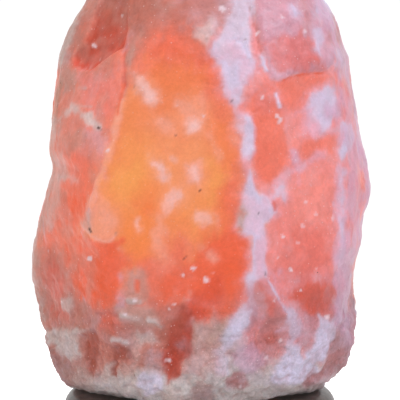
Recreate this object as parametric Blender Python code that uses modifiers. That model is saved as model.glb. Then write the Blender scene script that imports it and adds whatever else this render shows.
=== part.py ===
"""A rock salt lamp: a hewn lump of pink halite, bored from below for a bulb, on a turned wooden base.

Units are metres, +Z is up and the front looks along -Y. The origin is on the surface that the lamp stands
on, under the middle of the base. Heights in the lump's own tables are measured up from its sawn underside.
"""

import math

import bmesh
import bpy
import numpy as np
from mathutils import Matrix, Vector, noise

MM = 0.001

# Heights, from the standing surface up
FIT_GAP = 0.3 * MM
FOOT_HEIGHT = 3 * MM
FOOT_RADIUS = 6 * MM
FOOT_CIRCLE = 43 * MM
BASE_UNDERSIDE = FOOT_HEIGHT + FIT_GAP
BASE_THICKNESS = 22 * MM
BASE_TOP = BASE_UNDERSIDE + BASE_THICKNESS
LUMP_SEAT = BASE_TOP + FIT_GAP

# The turned base
BASE_RADIUS = 54.5 * MM
BASE_TOP_ROUND = 7 * MM
BASE_LOWER_ROUND = 2 * MM
BASE_HOLE_RADIUS = 25 * MM
GROOVE_WIDTH = 8 * MM
GROOVE_DEPTH = 8 * MM

# The bore in the lump, drilled from below with a round-nosed cutter
BORE_RADIUS = 23 * MM
BORE_TOP = 140 * MM
BORE_NOSE = 8 * MM

# Lampholder and bulb, stacked up the axis
HOLDER_BOTTOM = 16 * MM
HOLDER_TOP = 71 * MM
HOLDER_RADIUS = 13.5 * MM
CORD_ENTRY_RADIUS = 3.3 * MM
CAP_RADIUS = 7 * MM
CAP_BOTTOM = 47 * MM
CAP_TOP = 72 * MM
BULB_RADIUS = 13.5 * MM
BULB_BOTTOM = CAP_TOP + FIT_GAP
BULB_TOP = 124 * MM
GLASS_WALL = 0.8 * MM

# The sprung clip on the holder
CLIP_COLLAR_BOTTOM = 50 * MM
CLIP_COLLAR_TOP = 58 * MM
CLIP_WALL = 0.8 * MM
CLIP_WIDTH = 9 * MM

# Screws up through the base into the lump
SCREW_CIRCLE = 34 * MM
SCREW_ANGLES = (30, 150, 270)
SCREW_HEAD_RADIUS = 4 * MM
SCREW_HEAD_HEIGHT = 2.4 * MM
SCREW_RADIUS = 2 * MM
SCREW_TIP = 40 * MM
COUNTERBORE_DEPTH = 7 * MM
COUNTERBORE_RADIUS = 5 * MM

# How finely the lump is carved, and the share of its triangles that is kept
CARVING_LEVEL = 7
KEPT_SHARE = 0.066
SAW_BLOCK = 200 * MM

# The lump's girth before it is hewn, in mm: height, then how far it reaches left, right, forward and back.
GIRTH = (
    (-34, 0, 0, 0, 0),
    (-31, 24, 22, 22, 23),
    (-16, 45, 41, 41, 42),
    (0, 54, 50.5, 51, 51),
    (8, 58.5, 57.3, 56, 55),
    (19, 61.6, 62.4, 59, 58),
    (33, 65.6, 61.8, 61, 60),
    (49, 69.6, 62.6, 62, 60.5),
    (62, 67.8, 64.2, 62, 61),
    (73, 63.2, 67.6, 61, 61.5),
    (84, 59.4, 71, 60, 61.5),
    (98, 61.4, 66.2, 59, 61),
    (116, 61, 63.6, 57, 59),
    (133, 58.6, 59.6, 54, 55),
    (147, 53, 55.7, 49, 50),
    (160, 46, 49.6, 42, 43),
    (173, 36.5, 39, 33, 34),
    (184, 23, 26, 21, 21),
    (190, 11, 13, 9, 9),
    (192, 0, 0, 0, 0),
)
# Above 2, a section is squarer than an ellipse
SECTION_POWER = 2.25

# Broad faces left by the mason's chisel: compass angle of the face (0 is right, 270 is front), its upward
# tilt in degrees, how far it lies from the middle of the lump, and how softly it meets the rest, in mm.
LUMP_MIDDLE = 85
BROAD_FACES = (
    ("front glowing face", 263, 3, 55.5, 2.0),
    ("left front face", 212, -5, 60.5, 1.6),
    ("upper left scoop", 222, 20, 62.0, 1.6),
    ("right front face", 301, 4, 58.0, 2.0),
    ("right side", 344, 6, 66.0, 3.5),
    ("left side", 184, 9, 66.0, 4.0),
    ("front slope to the top", 268, 38, 76.0, 4.0),
    ("top left slope", 160, 52, 89.0, 4.0),
    ("top right slope", 20, 50, 89.0, 4.0),
    ("back of the crown", 95, 47, 83.0, 4.0),
    ("back left face", 127, 4, 58.0, 2.0),
    ("back face", 88, -3, 56.0, 2.0),
    ("back right face", 48, 5, 58.5, 2.0),
    ("lower back slope", 100, -34, 83.0, 3.0),
    ("lower front left slope", 236, -30, 85.5, 3.0),
    ("lower front right slope", 296, -31, 85.0, 3.0),
    ("lower right slope", 8, -38, 93.0, 3.0),
)

# Small flats where single blows took a flake off
FLAKE_COUNT = 80
FLAKE_SEED = 17
FLAKE_DEPTH_MM = (0.3, 1.2)
FLAKE_SOFTNESS_MM = 0.5

# Ledges: name, points (x, height) in mm seen from the front, how far the upper side stands proud, and how
# far the step is felt above the line, all in mm. Each lies on the front of the lump.
LEDGES = (
    ("shelf of the upper right block", ((30, 124), (38, 126), (46, 128), (55, 129)), 1.7, 22),
    ("foot of the glowing face", ((-46, 63), (-42, 61), (-36, 61), (-32, 64)), 0.8, 10),
    ("lip under the red scoop", ((-31, 138), (-40, 131), (-46, 128), (-51, 134)), -1.5, 18),
    ("step at the lower right", ((24, 44), (29, 36), (34, 28)), 0.9, 12),
)

# Lumps and pits: name, compass angle and height of the middle, radius and how far it stands proud, in mm
KNOBS = (
    ("bulge at the right", 352, 79, 11, 1.6),
    ("bulge at the left", 186, 49, 13, 1.8),
    ("notch under the left bulge", 190, 36, 6, -1.4),
    ("small nub low on the left", 192, 16.5, 4.5, 2.6),
    ("foot of the right side", 340, 20, 14, 1.8),
    ("hollow above the right foot", 345, 36, 8, -1.5),
    ("pit in the lower front", 292, 30, 7, -1.8),
    ("crumbled hollow, lower left", 243, 27, 9, -1.6),
    ("crumbled lump, lower left", 251, 20, 7, 1.5),
    ("crumbled lump, low front", 275, 14, 8, 1.4),
    ("hollow beside it", 263, 20, 6, -1.4),
    ("lump at the back foot", 80, 22, 13, 2.0),
    ("pit at the back", 112, 60, 9, -1.8),
    ("lump on the back right", 38, 96, 14, 1.6),
    ("pit on the back right", 60, 128, 9, -1.8),
    ("hollow in the crown", 130, 172, 12, -2.0),
)

# Natural unevenness, as noise: size of the bumps and their height, in mm
UNEVENNESS = ((34, 1.3), (13, 0.75), (5.5, 0.3))

# The crumbled foot: size and height of its bumps in mm, and where it starts to fade out and ends
CRUMBLE = (9, 1.0)
CRUMBLE_FADES_MM = (16, 46)


def clear_scene():
    """Removes every object that the scene starts with."""
    for leftover in list(bpy.data.objects):
        bpy.data.objects.remove(leftover, do_unlink=True)


def make_collection(name):
    """A collection linked to the scene."""
    collection = bpy.data.collections.new(name)
    bpy.context.scene.collection.children.link(collection)
    return collection


def make_material(name, colour, roughness, metallic=0.0, glow=0.0):
    """A Principled material. colour is linear red, green and blue."""
    material = bpy.data.materials.new(name)
    material.use_nodes = True
    shader = material.node_tree.nodes["Principled BSDF"]
    shader.inputs["Base Color"].default_value = (*colour, 1.0)
    shader.inputs["Roughness"].default_value = roughness
    shader.inputs["Metallic"].default_value = metallic
    shader.inputs["Emission Color"].default_value = (*colour, 1.0)
    shader.inputs["Emission Strength"].default_value = glow
    material.diffuse_color = (*colour, 1.0)
    return material


def add_object(name, shape, collection, material=None):
    """Puts a bmesh into a new object and frees it."""
    mesh = bpy.data.meshes.new(name)
    shape.to_mesh(mesh)
    shape.free()
    made = bpy.data.objects.new(name, mesh)
    collection.objects.link(made)
    if material:
        mesh.materials.append(material)
    return made


def make_cylinder(name, radius, low, high, collection, at=(0.0, 0.0), segments=48, material=None):
    """An upright cylinder between two heights."""
    shape = bmesh.new()
    bmesh.ops.create_cone(
        shape, cap_ends=True, segments=segments, radius1=radius, radius2=radius, depth=high - low,
        matrix=Matrix.Translation((at[0], at[1], (low + high) / 2)),
    )
    return add_object(name, shape, collection, material)


def make_turned(name, profile, steps, collection, material):
    """A solid of revolution about Z. profile is a closed ring or a line that starts and ends on the axis,
    as (radius, height) points that run down the outer side and back up the inner one."""
    on_axis = profile[0][0] == 0.0
    shape = bmesh.new()
    points = [shape.verts.new((radius, 0.0, height)) for radius, height in profile]
    for first, second in zip(points, points[1:]):
        shape.edges.new((first, second))
    if not on_axis:
        shape.edges.new((points[-1], points[0]))
    made = add_object(name, shape, collection, material)
    screw = made.modifiers.new("Turned", "SCREW")
    screw.steps = steps
    screw.render_steps = steps
    screw.use_merge_vertices = True
    screw.merge_threshold = 0.01 * MM
    screw.use_smooth_shade = True
    return made


def arc(centre, radius, start, end, steps):
    """Points on an arc in a (radius, height) profile, its angles in degrees."""
    angles = np.radians(np.linspace(start, end, steps + 1))
    return [(centre[0] + radius * math.cos(a), centre[1] + radius * math.sin(a)) for a in angles]


def cut_away(target, cutter):
    """Subtracts a helper object with a Boolean modifier."""
    cutter.hide_render = True
    cutter.display_type = "WIRE"
    boolean = target.modifiers.new(cutter.name, "BOOLEAN")
    boolean.operation = "DIFFERENCE"
    boolean.object = cutter


def around(radius, degrees):
    """The (x, y) point at that radius and compass angle."""
    return radius * math.cos(math.radians(degrees)), radius * math.sin(math.radians(degrees))


def smooth_step(value, start, end):
    """0 before start, 1 after end, smooth between."""
    share = np.clip((value - start) / (end - start), 0.0, 1.0)
    return share * share * (3.0 - 2.0 * share)


def spline_rows(rows, along):
    """Reads a smooth curve through the table's rows. along runs from 0 to the last row's index."""
    table = np.array(rows, float)
    padded = np.vstack([2 * table[0] - table[1], table, 2 * table[-1] - table[-2]])
    index = np.clip(np.floor(along).astype(int), 0, len(table) - 2)
    t = (along - index)[:, None]
    before, here, there, after = (padded[index + step] for step in range(4))
    tangent_here, tangent_there = (there - before) / 2, (after - here) / 2
    return (
        (2 * t**3 - 3 * t**2 + 1) * here + (t**3 - 2 * t**2 + t) * tangent_here
        + (-2 * t**3 + 3 * t**2) * there + (t**3 - t**2) * tangent_there
    )


def girth_positions(polar):
    """Turns each polar angle (0 at the top) into a place along GIRTH, evenly by distance on the surface."""
    table = np.array(GIRTH, float)
    steps = np.hypot(np.diff(table[:, 0]), np.diff(table[:, 1:].mean(axis=1)))
    travelled = np.concatenate([[0.0], np.cumsum(steps)]) / steps.sum()
    return np.interp(1.0 - polar / math.pi, travelled, np.arange(len(table)))


def boulder_points(directions):
    """The lump before hewing, in mm: one point for each unit direction."""
    polar = np.arccos(np.clip(directions[:, 2], -1.0, 1.0))
    compass = np.arctan2(directions[:, 1], directions[:, 0])
    height, left, right, forward, back = spline_rows(GIRTH, girth_positions(polar)).T
    cosine, sine = np.cos(compass), np.sin(compass)
    across = np.where(cosine >= 0, right, left)
    deep = np.where(sine >= 0, back, forward)
    swell = (np.abs(cosine) ** SECTION_POWER + np.abs(sine) ** SECTION_POWER) ** (-1 / SECTION_POWER)
    return np.stack([across * cosine * swell, deep * sine * swell, height], axis=1)


def press_flat(points, normal, distance, softness):
    """Presses what stands beyond a plane onto it, with a soft edge. distance is from the lump's middle."""
    beyond = (points - (0.0, 0.0, LUMP_MIDDLE)) @ normal - distance
    pressed = softness * np.logaddexp(0.0, beyond / softness)
    points -= pressed[:, None] * normal


def hew(points):
    """Gives the lump its broad chiselled faces and its small flake scars."""
    for _name, compass, tilt, distance, softness in BROAD_FACES:
        flat, up = math.cos(math.radians(tilt)), math.sin(math.radians(tilt))
        x, y = around(flat, compass)
        press_flat(points, np.array([x, y, up]), distance, softness)
    chooser = np.random.default_rng(FLAKE_SEED)
    for _flake in range(FLAKE_COUNT):
        normal = chooser.normal(size=3) * (1.0, 1.0, 0.75)
        normal /= np.linalg.norm(normal)
        furthest = ((points - (0.0, 0.0, LUMP_MIDDLE)) @ normal).max()
        press_flat(points, normal, furthest - chooser.uniform(*FLAKE_DEPTH_MM), FLAKE_SOFTNESS_MM)


def surface_normals(points, faces):
    """Unit normals at the points of a triangle mesh."""
    corners = points[faces]
    flat = np.cross(corners[:, 1] - corners[:, 0], corners[:, 2] - corners[:, 0])
    normals = np.zeros_like(points)
    for corner in range(3):
        np.add.at(normals, faces[:, corner], flat)
    return normals / np.linalg.norm(normals, axis=1)[:, None]


def ledge_lift(points, line, step, reach):
    """How far a ledge lifts each point: full just above its line, fading upwards and at its ends."""
    xs, heights = (np.array(column, float) for column in zip(*sorted(line)))
    above = points[:, 2] - np.interp(points[:, 0], xs, heights)
    starts = smooth_step(points[:, 0], xs[0] - 3, xs[0] + 2)
    goes_on = 1 - smooth_step(points[:, 0], xs[-1] - 2, xs[-1] + 3)
    on_front = starts * goes_on * smooth_step(-points[:, 1], 5, 20)
    return step * smooth_step(above, -0.8, 0.8) * (1 - smooth_step(above, 2, reach)) * on_front


def knob_lift(points, compass, height, radius, lift):
    """How far a rounded knob or pit lifts each point."""
    away = np.degrees(np.arctan2(points[:, 1], points[:, 0])) - compass
    girth = np.hypot(points[:, 0], points[:, 1])
    sideways = np.radians((away + 180) % 360 - 180) * girth
    distance = np.hypot(sideways, points[:, 2] - height)
    return lift * (1 - smooth_step(distance, radius * 0.25, radius))


def uneven_lift(points):
    """How far the salt's natural unevenness lifts each point. The foot is more crumbled than the rest."""
    lift = np.zeros(len(points))
    for size, height in UNEVENNESS:
        lift += height * np.array([noise.noise(Vector(p / size)) for p in points])
    size, height = CRUMBLE
    crumble = np.array([noise.turbulence(Vector(p / size), 2, False) for p in points])
    return lift + height * (crumble - crumble.mean()) * (1 - smooth_step(points[:, 2], *CRUMBLE_FADES_MM))


def make_lump(collection, cutters, material):
    """The hewn lump, sawn flat at its foot, with its bore and screw holes."""
    shape = bmesh.new()
    bmesh.ops.create_icosphere(shape, subdivisions=CARVING_LEVEL, radius=1.0)
    directions = np.array([vertex.co.normalized() for vertex in shape.verts])
    faces = np.array([[vertex.index for vertex in face.verts] for face in shape.faces])
    points = boulder_points(directions)
    hew(points)
    normals = surface_normals(points, faces)
    lift = uneven_lift(points)
    for _name, line, step, reach in LEDGES:
        lift += ledge_lift(points, line, step, reach)
    for _name, compass, height, radius, rise in KNOBS:
        lift += knob_lift(points, compass, height, radius, rise)
    points += normals * lift[:, None]
    points[:, :2] -= (points[:, :2].max(axis=0) + points[:, :2].min(axis=0)) / 2
    for vertex, point in zip(shape.verts, points):
        vertex.co = Vector(point) * MM + Vector((0.0, 0.0, LUMP_SEAT))
    lump = add_object("salt_lump", shape, collection, material)

    thinned = lump.modifiers.new("Thinned", "DECIMATE")
    thinned.ratio = KEPT_SHARE
    block = bmesh.new()
    under = Matrix.Translation((0.0, 0.0, LUMP_SEAT - SAW_BLOCK / 2))
    bmesh.ops.create_cube(block, size=SAW_BLOCK, matrix=under)
    cut_away(lump, add_object("saw_cut", block, cutters))
    bore = [(0.0, LUMP_SEAT - 5 * MM), (BORE_RADIUS, LUMP_SEAT - 5 * MM)][::-1]
    nose = arc((BORE_RADIUS - BORE_NOSE, BORE_TOP - BORE_NOSE), BORE_NOSE, 90, 0, 4)
    profile = [(0.0, BORE_TOP), *nose, *bore]
    cut_away(lump, make_turned("bore_cutter", profile, 40, cutters, None))
    for number, degrees in enumerate(SCREW_ANGLES, start=1):
        at = around(SCREW_CIRCLE, degrees)
        hole = make_cylinder(
            f"screw_hole_{number}", SCREW_RADIUS + FIT_GAP, LUMP_SEAT - MM, SCREW_TIP + MM, cutters, at, 12
        )
        cut_away(lump, hole)
    return lump


def make_base(collection, cutters, material):
    """The turned base: rounded rim, middle hole, cord groove and counterbored screw holes."""
    top = arc((BASE_RADIUS - BASE_TOP_ROUND, BASE_TOP - BASE_TOP_ROUND), BASE_TOP_ROUND, 90, 0, 5)
    low_middle = (BASE_RADIUS - BASE_LOWER_ROUND, BASE_UNDERSIDE + BASE_LOWER_ROUND)
    low = arc(low_middle, BASE_LOWER_ROUND, 0, -90, 1)
    profile = [(BASE_HOLE_RADIUS, BASE_TOP), *top, *low, (BASE_HOLE_RADIUS, BASE_UNDERSIDE)]
    base = make_turned("wood_base", profile, 52, collection, material)

    groove = bmesh.new()
    start, end = BASE_HOLE_RADIUS - 2 * MM, BASE_RADIUS + 2 * MM
    bmesh.ops.create_cube(groove, size=1.0)
    bmesh.ops.scale(groove, verts=groove.verts, vec=(GROOVE_WIDTH, end - start, 2 * GROOVE_DEPTH))
    bmesh.ops.translate(groove, verts=groove.verts, vec=(0.0, (start + end) / 2, BASE_UNDERSIDE))
    cut_away(base, add_object("groove_cutter", groove, cutters))
    for number, degrees in enumerate(SCREW_ANGLES, start=1):
        at = around(SCREW_CIRCLE, degrees)
        seat = BASE_UNDERSIDE + COUNTERBORE_DEPTH
        wide = make_cylinder(
            f"counterbore_{number}", COUNTERBORE_RADIUS, BASE_UNDERSIDE - MM, seat, cutters, at, 16
        )
        narrow = make_cylinder(
            f"clearance_{number}", SCREW_RADIUS + FIT_GAP, seat - MM, BASE_TOP + MM, cutters, at, 12
        )
        cut_away(base, wide)
        cut_away(base, narrow)
    return base


def make_screw(number, degrees, collection, material):
    """One wood screw: a domed head with a pointed shank above it, its slot left out."""
    head_top = BASE_UNDERSIDE + COUNTERBORE_DEPTH - FIT_GAP
    profile = [
        (0.0, SCREW_TIP), (SCREW_RADIUS * 0.4, SCREW_TIP - 1.2 * MM), (SCREW_RADIUS, SCREW_TIP - 5 * MM),
        (SCREW_RADIUS, head_top), (SCREW_HEAD_RADIUS, head_top),
        (SCREW_HEAD_RADIUS * 0.8, head_top - SCREW_HEAD_HEIGHT * 0.75), (0.0, head_top - SCREW_HEAD_HEIGHT),
    ]
    screw = make_turned(f"base_screw_{number}", profile, 12, collection, material)
    x, y = around(SCREW_CIRCLE, degrees)
    screw.location = (x, y, 0.0)
    return screw


def make_foot(number, degrees, collection, material):
    """One round pad stuck under the base."""
    at = around(FOOT_CIRCLE, degrees)
    foot = make_cylinder(f"foot_{number}", FOOT_RADIUS, 0.0, FOOT_HEIGHT, collection, at, 16, material)
    bevel = foot.modifiers.new("Soft rim", "BEVEL")
    bevel.width = 0.5 * MM
    bevel.segments = 1
    bevel.angle_limit = math.radians(60)
    return foot


def make_holder(collection, material):
    """The lampholder: a stepped moulded sleeve with the cap's socket above and the cord's entry below."""
    socket = CAP_RADIUS + 0.6 * MM
    floor = CAP_BOTTOM - FIT_GAP
    profile = [
        (socket, HOLDER_TOP), (HOLDER_RADIUS - MM, HOLDER_TOP), (HOLDER_RADIUS, HOLDER_TOP - MM),
        (HOLDER_RADIUS, 34 * MM), (HOLDER_RADIUS - 2 * MM, 31 * MM), (HOLDER_RADIUS - 2 * MM, 22 * MM),
        (8 * MM, HOLDER_BOTTOM + 2 * MM), (6.5 * MM, HOLDER_BOTTOM), (CORD_ENTRY_RADIUS, HOLDER_BOTTOM),
        (CORD_ENTRY_RADIUS, floor), (socket, floor),
    ]
    return make_turned("lamp_holder", profile, 28, collection, material)


def make_bulb(collection, glass, metal):
    """The pygmy bulb: a thin glass envelope, open at its neck, and the rolled screw cap that holds it."""
    belly = BULB_TOP - BULB_RADIUS
    neck = CAP_RADIUS - 0.6 * MM
    inner = BULB_RADIUS - GLASS_WALL
    dome = arc((0.0, belly), BULB_RADIUS, 90, 0, 6)
    dome[0] = (0.0, BULB_TOP)
    hollow = arc((0.0, belly), inner, 0, 90, 5)
    hollow[-1] = (0.0, belly + inner)
    waist = BULB_BOTTOM + 12 * MM
    profile = [
        *dome, (BULB_RADIUS - 0.8 * MM, belly - 12 * MM), (neck + 2.5 * MM, waist), (neck, BULB_BOTTOM),
        (neck - GLASS_WALL, BULB_BOTTOM), (neck + 2.5 * MM - GLASS_WALL, waist),
        (BULB_RADIUS - 0.8 * MM - GLASS_WALL, belly - 12 * MM), *hollow,
    ]
    envelope = make_turned("bulb_glass", profile, 28, collection, glass)

    thread = [
        (CAP_RADIUS - 0.5 * MM * (turn % 2), CAP_TOP - 2 * MM - turn * 2.6 * MM) for turn in range(7)
    ]
    cap_profile = [
        (0.0, CAP_TOP), (CAP_RADIUS - 0.4 * MM, CAP_TOP), *thread,
        (3 * MM, CAP_BOTTOM + 1.5 * MM), (2.4 * MM, CAP_BOTTOM), (0.0, CAP_BOTTOM),
    ]
    cap = make_turned("bulb_cap", cap_profile, 24, collection, metal)
    return envelope, cap


def make_spring(collection, cutters, material):
    """The clip: a sheet collar round the holder, with two bowed leaves that press on the bore's wall."""
    inside = HOLDER_RADIUS + FIT_GAP
    outside = inside + CLIP_WALL
    profile = [
        (inside, CLIP_COLLAR_TOP), (outside, CLIP_COLLAR_TOP), (outside, CLIP_COLLAR_BOTTOM),
        (inside, CLIP_COLLAR_BOTTOM),
    ]
    spring = make_turned("holder_spring", profile, 28, collection, material)
    reach = BORE_RADIUS - FIT_GAP - CLIP_WALL - 0.5 * MM
    bow = [
        (outside - 0.4 * MM, CLIP_COLLAR_TOP - MM), (outside + 3.5 * MM, CLIP_COLLAR_TOP + 0.5 * MM),
        (reach - MM, CLIP_COLLAR_TOP - 6 * MM), (reach, CLIP_COLLAR_TOP - 13 * MM),
        (reach - 1.5 * MM, CLIP_COLLAR_TOP - 20 * MM), (reach - 4.5 * MM, CLIP_COLLAR_TOP - 25 * MM),
    ]
    for side in (1, -1):
        strip = bmesh.new()
        rows = [
            [strip.verts.new((x, side * y, z)) for x in (-CLIP_WIDTH / 2, CLIP_WIDTH / 2)] for y, z in bow
        ]
        for (a, b), (c, d) in zip(rows, rows[1:]):
            strip.faces.new((a, b, d, c) if side > 0 else (b, a, c, d))
        leaf = add_object(f"leaf_{'back' if side > 0 else 'front'}", strip, cutters)
        leaf.hide_render = True
        leaf.display_type = "WIRE"
        sheet = leaf.modifiers.new("Sheet", "SOLIDIFY")
        sheet.thickness = CLIP_WALL
        sheet.offset = 0.0
        union = spring.modifiers.new(leaf.name, "BOOLEAN")
        union.operation = "UNION"
        union.object = leaf
    return spring


def main():
    """Builds the lamp, piece by piece."""
    clear_scene()
    lamp = make_collection("rock_salt_lamp")
    cutters = make_collection("cutters")
    salt = make_material("pink halite", (0.80, 0.28, 0.20), 0.45)
    wood = make_material("dark turned wood", (0.075, 0.045, 0.035), 0.45)
    plastic = make_material("white moulded plastic", (0.75, 0.74, 0.70), 0.5)
    glass = make_material("warm bulb glass", (1.0, 0.72, 0.40), 0.15, glow=0.5)
    nickel = make_material("nickelled brass", (0.70, 0.68, 0.62), 0.3, metallic=1.0)
    steel = make_material("spring steel", (0.55, 0.56, 0.58), 0.35, metallic=1.0)
    rubber = make_material("black rubber", (0.02, 0.02, 0.02), 0.8)

    make_lump(lamp, cutters, salt)
    make_base(lamp, cutters, wood)
    make_holder(lamp, plastic)
    make_bulb(lamp, glass, nickel)
    make_spring(lamp, cutters, steel)
    for number, degrees in enumerate(SCREW_ANGLES, start=1):
        make_screw(number, degrees, lamp, steel)
    for number, degrees in enumerate((45, 135, 225, 315), start=1):
        make_foot(number, degrees, lamp, rubber)


main()
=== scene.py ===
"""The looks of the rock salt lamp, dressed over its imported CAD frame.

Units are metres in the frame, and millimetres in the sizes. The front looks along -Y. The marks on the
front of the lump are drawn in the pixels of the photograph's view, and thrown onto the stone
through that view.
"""

from __future__ import annotations

import logging
import math
from dataclasses import dataclass, replace
from enum import Enum
from typing import Any

import bmesh
import bpy
import numpy as np
from mathutils import Matrix, Vector, noise

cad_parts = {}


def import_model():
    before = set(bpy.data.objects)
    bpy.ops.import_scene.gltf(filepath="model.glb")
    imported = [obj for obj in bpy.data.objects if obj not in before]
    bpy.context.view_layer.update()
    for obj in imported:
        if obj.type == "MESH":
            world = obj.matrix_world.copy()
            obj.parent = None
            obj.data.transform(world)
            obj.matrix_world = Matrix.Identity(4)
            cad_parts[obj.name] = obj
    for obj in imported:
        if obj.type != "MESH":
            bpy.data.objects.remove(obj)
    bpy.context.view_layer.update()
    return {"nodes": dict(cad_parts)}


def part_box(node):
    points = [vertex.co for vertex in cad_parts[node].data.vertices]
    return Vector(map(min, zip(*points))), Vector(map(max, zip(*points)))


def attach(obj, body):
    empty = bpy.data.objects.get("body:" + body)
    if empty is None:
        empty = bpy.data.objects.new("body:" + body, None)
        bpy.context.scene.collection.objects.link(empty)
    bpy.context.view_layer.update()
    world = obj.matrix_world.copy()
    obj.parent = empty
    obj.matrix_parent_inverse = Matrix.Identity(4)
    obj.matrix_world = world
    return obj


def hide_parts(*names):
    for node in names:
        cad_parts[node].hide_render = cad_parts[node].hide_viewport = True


LOG = logging.getLogger("rock_salt_lamp")
MM = 0.001

Colour = tuple[float, float, float]
Spot = tuple[float, float, float]
Pair = tuple[float, float]
Line = tuple[Pair, ...]
Tree = bpy.types.NodeTree
Thing = bpy.types.Object


def linear(code: str) -> Colour:
    """Turns an sRGB hex colour into linear red, green and blue.

    Args:
        code: the colour as "#RRGGBB".

    Returns:
        Its three linear parts.
    """
    parts = [int(code[start:start + 2], 16) / 255 for start in (1, 3, 5)]
    bright = [((part + 0.055) / 1.055) ** 2.4 for part in parts]
    red, green, blue = (part / 12.92 if part <= 0.04045 else light for part, light in zip(parts, bright))
    return red, green, blue


def smooth_step(value: np.ndarray, start: float, end: float) -> np.ndarray:
    """Rises smoothly from 0 at start to 1 at end.

    Args:
        value: the numbers to read.
        start: where the rise begins.
        end: where it is complete.

    Returns:
        The share for each number.
    """
    share = np.clip((value - start) / (end - start), 0.0, 1.0)
    return share * share * (3.0 - 2.0 * share)


def noise_at(points: np.ndarray, size: float | tuple[float, float, float], shift: float = 0.0) -> np.ndarray:
    """Reads smooth noise in space.

    Args:
        points: positions in mm.
        size: the size of its bumps in mm, one number or one for each axis.
        shift: moves the pattern, so that two fields differ.

    Returns:
        Values from about -0.7 to 0.7.
    """
    scaled = points / np.array(size) + shift
    return np.array([noise.noise(Vector(point)) for point in scaled])


def add_node(tree: Tree, kind: str, settings: dict[str | int, Any] | None = None,
             links: dict[str | int, Any] | None = None) -> bpy.types.Node:
    """Adds a node to a material's tree.

    Args:
        tree: the node tree.
        kind: the node's type, without its ShaderNode prefix.
        settings: values for its properties, or for its input sockets where the name is a socket's.
        links: input sockets, by name or number, and the output socket that feeds each.

    Returns:
        The new node.
    """
    node = tree.nodes.new(f"ShaderNode{kind}")
    for name, value in (settings or {}).items():
        if isinstance(name, str) and hasattr(node, name):
            setattr(node, name, value)
        else:
            node.inputs[name].default_value = value
    for name, source in (links or {}).items():
        tree.links.new(source, node.inputs[name])
    return node


def math_node(tree: Tree, operation: str, *terms: Any) -> Any:
    """Adds a node that joins numbers or outputs by one operation.

    Args:
        tree: the node tree.
        operation: what it does.
        terms: the numbers or outputs that go in, in order.

    Returns:
        The result's output.
    """
    settings: dict[str | int, Any] = {"operation": operation}
    links: dict[str | int, Any] = {}
    for number, term in enumerate(terms):
        (links if isinstance(term, bpy.types.NodeSocket) else settings)[number] = term
    return add_node(tree, "Math", settings, links).outputs[0]


def remapped(tree: Tree, value: Any, span: Pair, result: Pair, kind: str = "LINEAR") -> Any:
    """Adds a node that turns one span of values into another.

    Args:
        tree: the node tree.
        value: the output to read.
        span: the values that it starts and ends at.
        result: what those become.
        kind: how it rises between them.

    Returns:
        The result's output.
    """
    settings = {"interpolation_type": kind, "From Min": span[0], "From Max": span[1], "To Min": result[0],
                "To Max": result[1]}
    return add_node(tree, "MapRange", settings, {"Value": value}).outputs[0]


def noise_texture(tree: Tree, place: Any, size_mm: float, detail: float = 3.0,
                  roughness: float = 0.5, distortion: float = 0.0) -> Any:
    """Adds a noise texture of a real size.

    Args:
        tree: the node tree.
        place: the output that gives positions.
        size_mm: the size of its broadest bumps.
        detail: how many finer layers it has.
        roughness: how strong the finer layers are.
        distortion: how far it is stirred.

    Returns:
        The noise's output.
    """
    settings = {"Scale": 1 / (size_mm * MM), "Detail": detail, "Roughness": roughness,
                "Distortion": distortion}
    return add_node(tree, "TexNoise", settings, {"Vector": place}).outputs["Fac"]


def scaled(tree: Tree, colour: Any, share: Any) -> Any:
    """Adds a node that makes a colour brighter or darker, and returns its output."""
    return add_node(tree, "VectorMath", {"operation": "SCALE"}, {0: colour, "Scale": share}).outputs[0]


def mixed(tree: Tree, share: Any, under: Any, over: Any) -> Any:
    """Adds a node that lays one colour over another.

    Args:
        tree: the node tree.
        share: the output that says how much.
        under: the output with the colour below.
        over: the colour above, as an output or as three numbers.

    Returns:
        The mixed colour's output.
    """
    settings: dict[str | int, Any] = {"data_type": "RGBA"}
    links = {0: share, 6: under}
    if isinstance(over, bpy.types.NodeSocket):
        links[7] = over
    else:
        settings[7] = (*over, 1.0)
    return add_node(tree, "Mix", settings, links).outputs[2]


def relief(tree: Tree, height: Any, depth_mm: float, strength: Any = 1.0, over: Any = None) -> Any:
    """Adds fine relief to a surface.

    Args:
        tree: the node tree.
        height: the output that is high where the surface stands proud.
        depth_mm: how far it does.
        strength: how much of it shows, as a number or an output.
        over: the normal's output of the relief below, if there is one.

    Returns:
        The normal's output.
    """
    settings: dict[str | int, Any] = {"Distance": depth_mm * MM}
    links = {"Height": height, **({"Normal": over} if over else {})}
    (links if isinstance(strength, bpy.types.NodeSocket) else settings)["Strength"] = strength
    return add_node(tree, "Bump", settings, links).outputs[0]


def feed(tree: Tree, shader: bpy.types.Node, inputs: dict[str, Any]) -> None:
    """Sets a shader's inputs by name, each to a number, a colour or the output that feeds it."""
    for name, value in inputs.items():
        if isinstance(value, bpy.types.NodeSocket):
            tree.links.new(value, shader.inputs[name])
        else:
            shader.inputs[name].default_value = value


def two_tone(tree: Tree, value: Any, low: tuple[float, Colour], high: tuple[float, Colour]) -> Any:
    """Adds a ramp from one colour to another.

    Args:
        tree: the node tree.
        value: the output to read.
        low: where the ramp starts, and its colour there.
        high: where it ends, and its colour there.

    Returns:
        The colour's output.
    """
    ramp = add_node(tree, "ValToRGB", links={"Fac": value})
    for stop, (position, colour) in zip(ramp.color_ramp.elements, (low, high)):
        stop.position = position
        stop.color = (*colour, 1.0)
    return ramp.outputs["Color"]


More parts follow.
